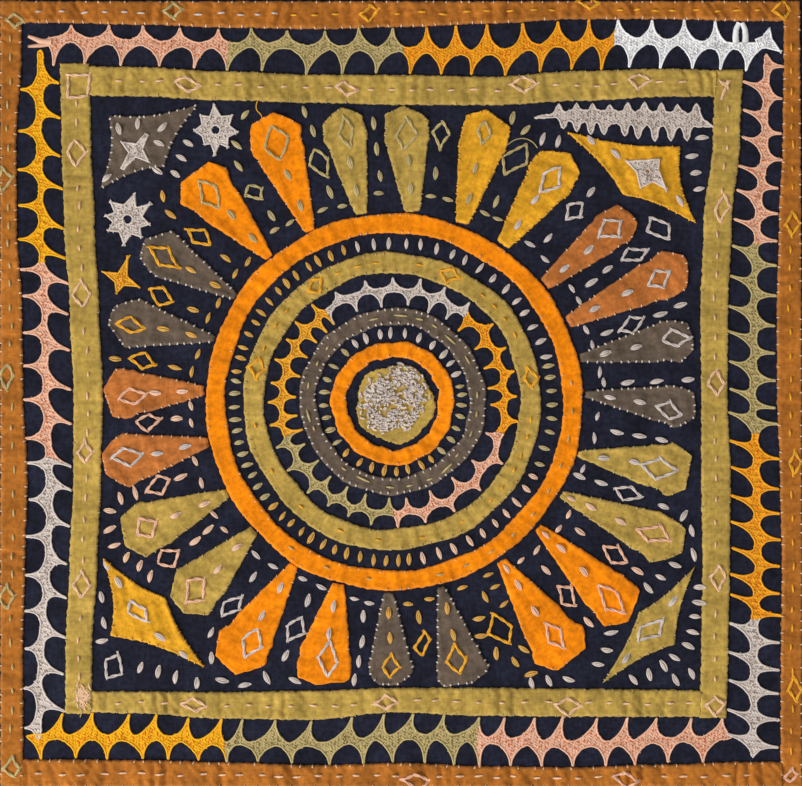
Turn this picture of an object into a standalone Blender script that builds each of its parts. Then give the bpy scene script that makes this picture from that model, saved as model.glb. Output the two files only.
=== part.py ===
"""Embroidered textile panel, lying flat with its face up.

A square of navy cloth carries an outer border and an inner frame of cloth strips. Inside the
frame a medallion of four cloth rings stands round a small disc, with twenty-four rays about it
and a lozenge in each corner. Every piece is cut by hand, so no two are quite alike.

Metres, +Z up. The origin is on the surface that the panel lies on, under the panel's middle.
+Y is the top of the panel as it is looked at, and +X is its right.
"""

import math

import bmesh
import bpy
from mathutils import Matrix, Vector

MM = 0.001

# Cloth
PANEL_SIDE = 450 * MM  # 18 inches, hemmed
GROUND_THICKNESS = 1.7 * MM  # two layers of cotton, quilted together
PIECE_THICKNESS = 1 * MM  # one layer with its edges turned under
SEAM_GAP = 0.3 * MM  # what every piece keeps to its neighbours
EDGE_WAVER = 0.7 * MM  # how far the hem strays from a straight line
CELL = 11 * MM  # the size of mesh cell that follows the cloth's rise and fall

# Medallion
MEDALLION_CENTRE = (-3.1 * MM, -4.2 * MM)
RAY_START = 101.2 * MM  # just outside the outer ring
RING_WAVER = 0.4 * MM
DISC_CENTRE = (-2.8 * MM, -5.2 * MM)
DISC_RADIUS = 20.8 * MM
LOZENGE_PINCH = 0.16  # how far a lozenge's sides bend in

CLOTH_COLOURS = {
    "navy": "1F2030",
    "rust": "B46C2D",
    "olive": "A8964A",
    "orange": "FA920A",
    "gold": "E6A523",
    "taupe": "645A52",
    "pale_rust": "C8752F",
}

# The cloth's rise and fall: height and wavelength in mm, direction in degrees, phase in radians
WAVES = (
    (0.17, 215, 20, 0.4),
    (0.14, 140, 78, 1.9),
    (0.12, 98, 131, 3.1),
    (0.07, 76, 52, 5.0),
    (0.05, 66, 165, 2.2),
)

# Strips, all in mm from the panel's centre. Each edge is given at STATIONS, because the strips
# were cut and sewn by eye. Strips run bottom to top, or left to right.
STATIONS = (-180, -135, -90, -45, 0, 45, 90, 135, 180)
SIDE_STRIPS = (
    # name, cloth, lowest and highest end, left edge, right edge
    ("border_left", "rust", -208.8, 208.6, (-212.3,) * 9,
     (-200.0, -200.1, -198.9, -197.7, -199.9, -200.5, -203.3, -203.6, -200.8)),
    ("border_right", "rust", -208.8, 208.6, (201.5, 201.7, 202.2, 201.2, 199.6, 199.5, 200.6, 202.6, 203.1),
     (213.2, 213.2, 213.2, 213.0, 213.0, 212.8, 212.6, 212.4, 212.0)),
    ("frame_left", "olive", -169.6, 175.2, (-177.9, -177.7, -175.6, -173.6, -173.5, -175.5, -178.5, -179.9, -180.7),
     (-163.6, -163.3, -160.6, -158.6, -157.6, -159.7, -162.0, -164.0, -164.7)),
    ("frame_right", "olive", -171.6, 171.8, (157.9, 159.4, 160.1, 159.4, 159.4, 159.0, 160.6, 165.5, 167.2),
     (172.8, 174.0, 174.9, 175.3, 173.6, 174.0, 175.8, 180.2, 182.0)),
)
CROSS_STRIPS = (
    # name, cloth, left neighbour, right neighbour, lower edge, upper edge
    ("border_bottom", "rust", "border_left", "border_right", (-208.8,) * 9,
     (-193.7, -194.1, -195.3, -196.7, -195.6, -197.3, -197.8, -196.4, -195.0)),
    ("border_top", "rust", "border_left", "border_right",
     (196.6, 195.7, 194.1, 193.3, 194.5, 196.3, 198.6, 198.7, 197.6), (208.4,) * 9),
    ("frame_bottom", "olive", "frame_left", "frame_right",
     (-168.3, -169.5, -172.3, -173.0, -169.0, -170.8, -171.2, -171.3, -171.2),
     (-157.4, -157.6, -157.9, -157.3, -155.6, -155.6, -156.1, -156.6, -157.7)),
    ("frame_top", "olive", "frame_left", "frame_right",
     (158.3, 157.7, 155.5, 154.2, 153.1, 153.0, 155.3, 157.5, 157.6),
     (174.3, 173.6, 171.2, 169.4, 169.3, 168.4, 171.5, 172.7, 170.7)),
)

# Rings of the medallion, from the outside in. They were sewn on by eye, a little off its centre.
RINGS = (
    # name, cloth, centre, inner radius and outer radius in mm, lobes of its waver
    ("ring_outer", "orange", (-3.6, -4.2), 89.4, 100.1, 3),
    ("ring_second", "olive", (-4.2, -4.0), 67.8, 79.1, 5),
    ("ring_third", "taupe", (-4.0, -3.8), 40.3, 49.5, 4),
    ("ring_inner", "orange", (-3.9, -4.7), 24.3, 32.8, 3),
)

# Rays, clockwise from the first one left of the top. The foot stands on the outer ring and the
# head is the round end, so a ray leans where their directions differ. The last three values are
# the width of its foot, how far along it is widest, and how broad its end is beside its width.
RAYS = (
    # foot and head direction in degrees, reach and width in mm, cloth, foot, widest, end
    (100.0, 100.5, 158.0, 23.6, "olive", 6.4, 0.8, 0.7),
    (84.6, 88.1, 156.4, 24.8, "olive", 8.0, 0.8, 0.75),
    (69.3, 71.7, 162.0, 27.6, "gold", 7.0, 0.84, 0.62),
    (55.4, 55.1, 160.6, 27.2, "gold", 7.6, 0.8, 0.62),
    (38.1, 38.5, 161.2, 21.8, "pale_rust", 7.4, 0.82, 0.62),
    (24.8, 25.1, 172.6, 25.0, "pale_rust", 6.6, 0.84, 0.6),
    (13.3, 12.3, 162.6, 23.6, "taupe", 4.4, 0.86, 0.62),
    (2.4, -1.3, 160.2, 22.4, "taupe", 3.2, 0.86, 0.66),
    (-15.8, -13.4, 162.2, 27.4, "olive", 3.2, 0.84, 0.66),
    (-29.0, -26.8, 171.2, 27.0, "olive", 4.0, 0.86, 0.68),
    (-41.2, -42.2, 169.6, 27.8, "orange", 4.8, 0.86, 0.66),
    (-56.2, -55.9, 167.4, 31.0, "orange", 4.8, 0.84, 0.66),
    (-75.9, -75.9, 154.6, 28.2, "taupe", 3.6, 0.92, 0.84),
    (-91.8, -90.7, 150.2, 24.8, "taupe", 5.0, 0.9, 0.82),
    (-107.1, -104.9, 155.2, 31.0, "orange", 6.4, 0.86, 0.76),
    (-121.6, -121.8, 167.0, 29.4, "orange", 4.4, 0.82, 0.62),
    (-137.6, -136.4, 158.2, 29.2, "olive", 5.4, 0.8, 0.56),
    (-151.3, -153.3, 161.4, 28.8, "olive", 5.0, 0.82, 0.62),
    (-167.8, -167.8, 157.8, 28.8, "pale_rust", 5.0, 0.84, 0.66),
    (176.6, 178.5, 154.0, 26.8, "pale_rust", 5.0, 0.84, 0.7),
    (160.7, 163.6, 157.4, 26.8, "taupe", 3.2, 0.82, 0.58),
    (146.5, 147.6, 157.4, 26.0, "taupe", 3.6, 0.84, 0.58),
    (130.9, 131.6, 163.4, 29.8, "orange", 4.4, 0.84, 0.6),
    (116.3, 114.1, 166.2, 29.4, "orange", 5.6, 0.84, 0.7),
)

# Lozenges in the corners: their four points in mm, anticlockwise
LOZENGES = (
    # name, cloth, points
    ("lozenge_top_left", "taupe", ((-159.4, 108.6), (-125.0, 120.6), (-107.0, 153.6), (-154.6, 148.0))),
    ("lozenge_top_right", "gold", ((118.0, 105.6), (157.0, 90.0), (148.6, 131.6), (87.6, 139.4))),
    ("lozenge_bottom_left", "gold", ((-153.8, -128.4), (-103.6, -145.2), (-124.4, -108.0), (-157.6, -87.0))),
    ("lozenge_bottom_right", "olive", ((106.6, -154.0), (145.6, -133.0), (156.6, -91.0), (126.6, -115.6))),
)


def linear(hex_colour):
    """Turns an sRGB colour such as B46C2D into the linear RGBA that a shader takes."""
    channels = [int(hex_colour[place : place + 2], 16) / 255 for place in (0, 2, 4)]
    return [c / 12.92 if c <= 0.04045 else ((c + 0.055) / 1.055) ** 2.4 for c in channels] + [1]


def cloth_material(name, cloth):
    material = bpy.data.materials.new(name)
    material.use_nodes = True
    surface = material.node_tree.nodes["Principled BSDF"]
    surface.inputs["Base Color"].default_value = linear(CLOTH_COLOURS[cloth])
    surface.inputs["Roughness"].default_value = 0.9
    surface.inputs["Metallic"].default_value = 0
    return material


def ground_top(x, y):
    """Height of the ground cloth's face above the surface that it lies on."""
    rise = 0
    for height, wavelength, direction, phase in WAVES:
        along = x * math.cos(math.radians(direction)) + y * math.sin(math.radians(direction))
        rise += height * MM * math.sin(math.tau * along / (wavelength * MM) + phase)
    return GROUND_THICKNESS + rise


def edge_at(values, place):
    """The value at this place of a smooth line through those given at STATIONS. It is level past the last."""
    place = max(STATIONS[0], min(STATIONS[-1], place))
    step = STATIONS[1] - STATIONS[0]
    before = min(int((place - STATIONS[0]) // step), len(values) - 2)
    share = (place - STATIONS[before]) / step
    share = (1 - math.cos(math.pi * share)) / 2
    return values[before] + (values[before + 1] - values[before]) * share


def mapped_grid(columns, rows, plan):
    """A flat grid whose corners are at -1 and 1, each point moved to where plan puts it."""
    grid = bmesh.new()
    bmesh.ops.create_grid(grid, x_segments=columns, y_segments=rows, size=1)
    for vert in grid.verts:
        vert.co.x, vert.co.y = plan(vert.co.x, vert.co.y)
    return grid


def finished_object(grid, name, cloth, collection):
    """Makes an object of the mesh, with its origin below the middle of its outline."""
    mesh = bpy.data.meshes.new(name)
    grid.to_mesh(mesh)
    grid.free()
    corners = [vert.co for vert in mesh.vertices]
    middle = Vector((
        (min(c.x for c in corners) + max(c.x for c in corners)) / 2,
        (min(c.y for c in corners) + max(c.y for c in corners)) / 2,
        0,
    ))
    mesh.transform(Matrix.Translation(-middle))
    mesh.shade_smooth()
    mesh.materials.append(cloth_material(name, cloth))
    piece = bpy.data.objects.new(name, mesh)
    piece.location = middle
    collection.objects.link(piece)
    return piece


def ground_cloth(collection):
    """The square that carries the rest: a flat back, and a face that rises and falls a little."""
    half = PANEL_SIDE / 2 - EDGE_WAVER

    def plan(across, up):
        stray_x = across * math.sin(5.1 * up + 1.0 + across) * abs(across)
        stray_y = up * math.sin(4.3 * across + 2.6 + up) * abs(up)
        return across * half + stray_x * EDGE_WAVER, up * half + stray_y * EDGE_WAVER

    cells = round(PANEL_SIDE / CELL)
    cloth = mapped_grid(cells, cells, plan)
    back = cloth.faces[:]
    raised = bmesh.ops.extrude_face_region(cloth, geom=back)["geom"]
    for vert in raised:
        if isinstance(vert, bmesh.types.BMVert):
            vert.co.z = ground_top(vert.co.x, vert.co.y)
    bmesh.ops.dissolve_faces(cloth, faces=back)
    bmesh.ops.recalc_face_normals(cloth, faces=cloth.faces)
    return finished_object(cloth, "ground_cloth", "navy", collection)


def applied_piece(name, cloth, columns, rows, plan, collection):
    """A piece of cloth sewn onto the ground, as thick as its one layer all over."""
    surface = mapped_grid(columns, rows, plan)
    bmesh.ops.remove_doubles(surface, verts=surface.verts, dist=0.001 * MM)
    for vert in surface.verts:
        vert.co.z = ground_top(vert.co.x, vert.co.y) + SEAM_GAP
    piece = finished_object(surface, name, cloth, collection)
    layer = piece.modifiers.new("Layer", "SOLIDIFY")
    layer.thickness = PIECE_THICKNESS
    layer.offset = 1
    return piece


def side_strips(collection):
    """The strips that run up the sides. Returns what tells where each one's edges are at a height."""
    edges = {}
    for name, cloth, lowest, highest, left, right in SIDE_STRIPS:
        centre = (lowest + highest) / 2 * MM
        half = (highest - lowest) / 2 * MM

        def edge(y, side, left=left, right=right):
            return edge_at(right if side > 0 else left, y / MM) * MM

        def plan(up, across, edge=edge, centre=centre, half=half):
            y = centre + up * half
            return edge(y, -1) + (edge(y, 1) - edge(y, -1)) * (1 - across) / 2, y

        edges[name] = edge
        applied_piece(name, cloth, round(2 * half / CELL), 1, plan, collection)
    return edges


def cross_strips(edges, collection):
    """The strips along the top and bottom, which butt between those at the sides."""
    for name, cloth, left, right, lower, upper in CROSS_STRIPS:
        reach = (edges[right](0, -1) - edges[left](0, 1)) / 2

        def plan(across, up):
            place = across * reach / MM
            y = (edge_at(lower, place) * (1 - up) + edge_at(upper, place) * (1 + up)) / 2 * MM
            from_x = edges[left](y, 1) + SEAM_GAP
            to_x = edges[right](y, -1) - SEAM_GAP
            return from_x + (to_x - from_x) * (across + 1) / 2, y

        applied_piece(name, cloth, round(2 * reach / CELL), 1, plan, collection)


def rings(collection):
    for name, cloth, centre, inner, outer, lobes in RINGS:
        def plan(turn, out):
            angle = -math.pi * turn
            radius = (inner + outer) / 2 * MM + out * (outer - inner) / 2 * MM
            radius += RING_WAVER * math.sin(lobes * angle + inner)
            return centre[0] * MM + radius * math.cos(angle), centre[1] * MM + radius * math.sin(angle)

        around = max(28, round(math.tau * outer * MM / CELL))
        applied_piece(name, cloth, around, 1, plan, collection)


def centre_disc(collection):
    """A round scrap of cloth, cut with blunt corners."""
    def plan(across, up):
        x = across * math.sqrt(1 - up * up / 2)
        y = up * math.sqrt(1 - across * across / 2)
        radius = DISC_RADIUS * (1 + 0.04 * math.cos(5 * math.atan2(y, x) + 0.6))
        return DISC_CENTRE[0] + x * radius, DISC_CENTRE[1] + y * radius

    applied_piece("centre_disc", "olive", 6, 6, plan, collection)


def ray_half_width(share, width, foot_width, widest, end):
    """Half the width of a ray at this share of its length: a taper, then a head that closes in."""
    if share < widest:
        return (foot_width + (width - foot_width) * (share / widest) ** 0.94) / 2
    past = (share - widest) / (1 - widest)
    return width / 2 * math.sqrt(1 - (1 - end * end) * past * past)


def rays(collection):
    for number, (foot, head, reach, width, cloth, foot_width, widest, end) in enumerate(RAYS, 1):
        start = Matrix.Rotation(math.radians(foot), 2) @ Vector((RAY_START, 0))
        tip = Matrix.Rotation(math.radians(head), 2) @ Vector((reach * MM, 0))
        along = tip - start
        aside = along.normalized().orthogonal()

        def plan(out, across):
            share = 1 - (1 - (out + 1) / 2) ** 1.3
            bulge = 0.05 * share * (1 - across * across)
            half = ray_half_width(share, width, foot_width, widest, end) * MM
            point = start + along * (0.95 * share + bulge) + aside * across * half
            return point.x + MEDALLION_CENTRE[0], point.y + MEDALLION_CENTRE[1]

        applied_piece(f"ray_{number:02d}", cloth, 8, 2, plan, collection)


def lozenges(collection):
    for name, cloth, points in LOZENGES:
        corners = [Vector(point) * MM for point in points]
        middle = sum(corners, Vector((0, 0))) / 4

        def plan(across, up):
            low = corners[0].lerp(corners[1], (across + 1) / 2)
            high = corners[3].lerp(corners[2], (across + 1) / 2)
            point = low.lerp(high, (up + 1) / 2)
            side = across**2 * (1 - up**2) + up**2 * (1 - across**2)
            point = middle + (point - middle) * (1 - LOZENGE_PINCH * side)
            return point.x, point.y

        applied_piece(name, cloth, 6, 6, plan, collection)


def build():
    for leftover in list(bpy.data.objects):
        bpy.data.objects.remove(leftover, do_unlink=True)
    collection = bpy.data.collections.new("embroidered_textile_panel")
    bpy.context.scene.collection.children.link(collection)
    ground_cloth(collection)
    edges = side_strips(collection)
    cross_strips(edges, collection)
    rings(collection)
    centre_disc(collection)
    rays(collection)
    lozenges(collection)


build()
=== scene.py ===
import math

import bpy
import numpy as np
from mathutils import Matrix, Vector
from mathutils.bvhtree import BVHTree


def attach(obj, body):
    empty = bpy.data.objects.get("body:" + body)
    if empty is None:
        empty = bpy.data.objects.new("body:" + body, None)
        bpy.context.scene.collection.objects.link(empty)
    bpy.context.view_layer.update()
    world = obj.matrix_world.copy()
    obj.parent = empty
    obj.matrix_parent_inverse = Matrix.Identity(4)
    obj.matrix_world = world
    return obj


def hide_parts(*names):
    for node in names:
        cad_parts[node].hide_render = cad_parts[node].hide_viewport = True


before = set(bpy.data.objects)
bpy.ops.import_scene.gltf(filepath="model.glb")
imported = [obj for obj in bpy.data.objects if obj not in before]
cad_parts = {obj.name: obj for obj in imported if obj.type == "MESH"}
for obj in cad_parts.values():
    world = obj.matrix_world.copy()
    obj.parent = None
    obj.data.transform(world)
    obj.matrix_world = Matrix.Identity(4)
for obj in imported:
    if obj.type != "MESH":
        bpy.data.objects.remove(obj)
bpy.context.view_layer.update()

# Embroidered cotton panel, seen straight from above. Sizes in mm unless a name says otherwise.

mm = 0.001
medallion = (-3.1, -4.2)  # the middle that the rays and rings are laid out from


# the ground's rise and fall, as in the part
groundThickness = 1.7
waves = (
    # height, length, direction, phase
    (0.17, 215, 20, 0.4), (0.14, 140, 78, 1.9), (0.12, 98, 131, 3.1), (0.07, 76, 52, 5.0),
    (0.05, 66, 165, 2.2),
)


def groundTop(x, y):
    # height of the ground cloth's face
    rise = groundThickness
    for height, length, direction, phase in waves:
        way = math.radians(direction)
        rise = rise + height * np.sin(math.tau * (x * math.cos(way) + y * math.sin(way)) / length + phase)
    return rise


def waver(along, lengths, seed):
    # a smooth uneven line between -1 and 1, the same on each run
    phases = np.random.default_rng(seed).uniform(0, math.tau, len(lengths))
    ripples = [np.sin(math.tau * along / length + phase) for length, phase in zip(lengths, phases)]
    return sum(ripples) / len(lengths)


def polar(degrees, radius, centre=medallion):
    way = np.radians(degrees)
    return centre[0] + radius * np.cos(way), centre[1] + radius * np.sin(way)


def unit(vectors, least=1e-9):
    return vectors / (np.linalg.norm(vectors, axis=-1, keepdims=True) + least)


# materials
def linearColour(hexColour):
    channels = [int(hexColour[place:place + 2], 16) / 255 for place in (0, 2, 4)]
    return [c / 12.92 if c <= 0.04045 else ((c + 0.055) / 1.055) ** 2.4 for c in channels] + [1]


def mixed(hexColour, other, share):
    # a colour part of the way to another, both sRGB hex
    channels = [(int(hexColour[p:p + 2], 16), int(other[p:p + 2], 16)) for p in (0, 2, 4)]
    return "".join(f"{round(one * (1 - share) + two * share):02X}" for one, two in channels)


def addNode(tree, kind, terms=None, **settings):
    # terms are what the inputs get: a plain value, or the output of another node
    node = tree.nodes.new("ShaderNode" + kind)
    for name, value in settings.items():
        setattr(node, name, value)
    for socket, term in (terms or {}).items():
        if isinstance(term, bpy.types.NodeSocket):
            tree.links.new(term, node.inputs[socket])
        else:
            node.inputs[socket].default_value = term
    return node


def maths(tree, operation, *terms):
    return addNode(tree, "Math", dict(enumerate(terms)), operation=operation).outputs[0]


def noise(tree, place, scale, detail):
    return addNode(tree, "TexNoise", {"Scale": scale, "Detail": detail, "Vector": place}).outputs["Fac"]


def mapped(tree, value, fromRange, toRange):
    # a value stretched from one range to another
    return addNode(tree, "MapRange", dict(enumerate((value, *fromRange, *toRange)))).outputs[0]


def newMaterial(name, **values):
    material = bpy.data.materials.new(name)
    material.use_nodes = True
    surface = material.node_tree.nodes["Principled BSDF"]
    for socket, value in values.items():
        surface.inputs[socket.replace("_", " ")].default_value = value
    return material, material.node_tree, surface


def finishSurface(tree, surface, colour, shades, height, strength):
    # the colour times each of three shades, and the height, in metres, as bump
    total = maths(tree, "MULTIPLY", maths(tree, "MULTIPLY", *shades[:2]), shades[2])
    toned = addNode(tree, "VectorMath", {0: colour, "Scale": total}, operation="SCALE")
    bump = addNode(tree, "Bump", {"Strength": strength, "Distance": 1.0, "Height": height})
    tree.links.new(toned.outputs[0], surface.inputs["Base Color"])
    tree.links.new(bump.outputs[0], surface.inputs["Normal"])


clothFinish = dict(
    weavePitch=1.5,  # real threads are 0.4 mm apart: drawn coarser, so that they show from above
    weaveDepth=0.045,
    slubDepth=0.16,
    mottle=0.2,  # how far the dye is uneven
    wear=0.16,  # how far the folded edges have faded
    faded="D8C8B0",
    bump=0.55,
)


def clothMaterial(name, hexColour, mottle):
    # handloom plain-weave cotton, piece dyed and washed soft: matt, faintly mottled and ribbed
    material, tree, surface = newMaterial(name, Roughness=0.92, Sheen_Weight=0.05, Sheen_Roughness=0.6,
                                          Specular_IOR_Level=0.12)
    place = addNode(tree, "TexCoord").outputs["Object"]
    cut = addNode(tree, "UVMap", uv_map="cut").outputs["UV"]
    axes = addNode(tree, "SeparateXYZ", {"Vector": cut}).outputs
    # warp and weft: two sets of ribs, each as wide as a drawn thread
    turns = math.tau / (clothFinish["weavePitch"] * mm)
    warp, weft = (maths(tree, "SINE", maths(tree, "MULTIPLY", axes[axis], turns)) for axis in "XY")
    weave = maths(tree, "MULTIPLY", warp, weft)
    # slubs: thick places in the yarn, drawn out along it
    slubs = []
    for stretch in ((90, 900, 1), (900, 90, 1)):
        drawn = addNode(tree, "Mapping", {"Scale": stretch, "Vector": cut}).outputs[0]
        slubs.append(noise(tree, drawn, 1.0, 2.0))
    yarn = maths(tree, "ADD", *slubs)
    amount = clothFinish["mottle"] * mottle
    dye = mapped(tree, noise(tree, place, 60.0, 3.0), (0.3, 0.7), (1 - amount, 1 + amount))
    blotch = mapped(tree, noise(tree, place, 420.0, 2.0), (0.3, 0.7), (1 - amount, 1 + amount))
    streak = mapped(tree, yarn, (0.75, 1.25), (1 - amount / 2, 1 + amount / 2))
    worn = addNode(tree, "Attribute", attribute_name="wear").outputs["Fac"]
    wear = maths(tree, "MULTIPLY", worn, clothFinish["wear"])
    faded = linearColour(mixed(hexColour, clothFinish["faded"], 0.35))
    terms = {0: wear, 6: linearColour(hexColour), 7: faded}  # a colour mix: its factor and its two colours
    colour = addNode(tree, "Mix", terms, data_type="RGBA").outputs[2]
    relief = maths(tree, "MULTIPLY", weave, clothFinish["weaveDepth"] * mm)
    rough = maths(tree, "MULTIPLY", yarn, clothFinish["slubDepth"] * mm)
    height = maths(tree, "ADD", relief, rough)
    finishSurface(tree, surface, colour, (dye, blotch, streak), height, clothFinish["bump"])
    return material


threadFinish = dict(
    twistPitch=1.3,  # one turn of the plies along the thread
    twistDepth=0.10,
    uneven=0.10,  # how far the shade changes along a thread
    bump=0.6,
)


def threadMaterial(name, hexColour, roughness):
    # stranded cotton, soft two-ply: a low silky gloss, with slanting plies
    material, tree, surface = newMaterial(name, Roughness=roughness, Sheen_Weight=0.1,
                                          Specular_IOR_Level=0.22)
    place = addNode(tree, "TexCoord").outputs["Object"]
    strand = addNode(tree, "UVMap", uv_map="strand").outputs["UV"]
    axes = addNode(tree, "SeparateXYZ", {"Vector": strand}).outputs
    turns = maths(tree, "MULTIPLY", axes["X"], 1 / (threadFinish["twistPitch"] * mm))
    spiral = maths(tree, "MULTIPLY", maths(tree, "ADD", turns, axes["Y"]), math.tau * 2)
    ply = maths(tree, "SINE", spiral)
    uneven = threadFinish["uneven"]
    drift = mapped(tree, noise(tree, place, 330.0, 2.0), (0.3, 0.7), (1 - uneven, 1 + uneven))
    # the colour is darkened in the grooves between the plies and lightened on their crests: painted shade
    # and painted highlight
    folds = mapped(tree, ply, (-1.0, 1.0), (0.86, 1.06))
    shade = addNode(tree, "Attribute", attribute_name="shade").outputs["Fac"]
    height = maths(tree, "MULTIPLY", ply, threadFinish["twistDepth"] * mm)
    colour = linearColour(hexColour)[:3]
    finishSurface(tree, surface, colour, (drift, folds, shade), height, threadFinish["bump"])
    return material


clothHex = dict(navy="1B1D2C", rust="B06A24", olive="B89848", orange="F58900", gold="DFA022",
                taupe="655649",
                pale_rust="BB6E32")
mottles = dict(orange=0.9, navy=2.0)  # how uneven the dye is where it isn't as on the rest
threads = {
    # thread, the deeper one that shows here and there between its crossings, and the slot that it goes in
    "pink": ("F4BE9F", "E38558", "pale_rust"), "yellow": ("FFBB00", "FF9204", "gold"),
    "khaki": ("C6B278", "97834A", "olive"), "orange": ("FFAE14", "F6820A", "orange"),
    "gold": ("F6B028", "DC8A16", "gold"), "white": ("FFFFFF", "D6D2D4", "taupe"),
    "grey": ("DED0C6", "AC988C", "taupe"), "cream": ("D9CCC4", "A89C8C", "taupe"),
    "peach": ("F2C7A0", "CC8C60", "pale_rust"), "straw": ("E2AC50", "C07A24", "gold"),
    "sage": ("C5B27F", "8C7B45", "olive"), "blush": ("F2C9AD", "D98560", "pale_rust"),
    "ivory": ("DECEC3", "A89A8A", "taupe"),
}
clothMaterials = {}
for cloth, hexColour in clothHex.items():
    name = cloth.title().replace("_", "") + "HandloomCotton"
    clothMaterials[cloth] = clothMaterial(name, hexColour, mottles.get(cloth, 1.0))
threadMaterials = {}
for colour, (light, deep, slot) in threads.items():
    threadMaterials[colour] = threadMaterial(colour.title() + "StrandedCotton", light, 0.62)
    threadMaterials[colour + "Under"] = threadMaterial(colour.title() + "LacingCotton", deep, 0.75)
print("materials done")


# cloth
def makeMesh(name, points, faces, material, fields):
    mesh = bpy.data.meshes.new(name)
    mesh.from_pydata((np.asarray(points) * mm).tolist(), [], faces)
    mesh.polygons.foreach_set("use_smooth", np.ones(len(mesh.polygons), bool))
    for field, values in fields.items():
        mesh.attributes.new(field, "FLOAT", "POINT").data.foreach_set("value",
                                                                      np.asarray(values, np.float32))
    mesh.materials.append(material)
    piece = bpy.data.objects.new(name, mesh)
    bpy.context.scene.collection.objects.link(piece)
    return piece


def setUv(piece, name, uv):
    layer = piece.data.uv_layers.new(name=name)
    layer.data.foreach_set("uv", np.asarray(uv, np.float32).ravel())


def setCut(piece, places):
    # where each point was on the flat cloth, in mm, for the weave to follow
    corner = np.empty(len(piece.data.loops), np.int32)
    piece.data.loops.foreach_get("vertex_index", corner)
    setUv(piece, "cut", (places * mm)[corner])


def facesDown(points, faces):
    a, b, c = (points[faces[len(faces) // 2][k]] for k in range(3))
    return np.cross(b - a, c - a)[2] < 0


def closerAtEnds(count, power=1.5):
    steps = np.linspace(-1, 1, count)
    return np.sign(steps) * (1 - (1 - np.abs(steps)) ** power)


clothShape = dict(
    lift=0.05,  # height over the ground cloth
    layer=0.95,  # height of a piece over what it lies on
    least=0.55,  # the same in a valley, which stops on the ground cloth
    roll=0.8,  # radius of its folded edge
    turnedUnder=3.0,  # width of the turning that thickens the edge
    turningRise=0.17,
    dip=0.10,  # how far the middle lies below the edge
    ripple=0.05,
    edgeStray=0.42,  # how far the cut strays
    stitchPitch=4.7,  # the hemming stitches that nip the edge in
    nip=0.3,
)
clothPieces = {}


def shellFaces(nu, nv, around, gridBack=False):
    # the face as a grid, and a back that closes it
    rows = nu if around else nu - 1
    i, j = np.meshgrid(np.arange(rows), np.arange(nv - 1), indexing="ij")
    a, b = i * nv + j, ((i + 1) % nu) * nv + j
    top = np.stack([a, b, b + 1, a + 1], -1).reshape(-1, 4).tolist()
    if gridBack:  # the same grid again under the face, joined to it all round
        i, j = np.meshgrid(np.arange(nu), np.arange(nv), indexing="ij")
        rim = (i == 0) | (i == nu - 1) | (j == 0) | (j == nv - 1)
        under = np.where(rim, i * nv + j, nu * nv + np.cumsum(~rim).reshape(nu, nv) - 1)
        a, b, c, d = under[:-1, :-1], under[1:, :-1], under[1:, 1:], under[:-1, 1:]
        return top, np.stack([a, d, c, b], -1).reshape(-1, 4).tolist()
    k = np.arange(rows)
    low, high = k * nv, ((k + 1) % nu) * nv
    back = np.stack([low, low + nv - 1, high + nv - 1, high], -1).tolist()
    ends = [] if around else [list(range(nv)), list(range((nu - 1) * nv, nu * nv))[::-1]]
    return top, back + ends


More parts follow.
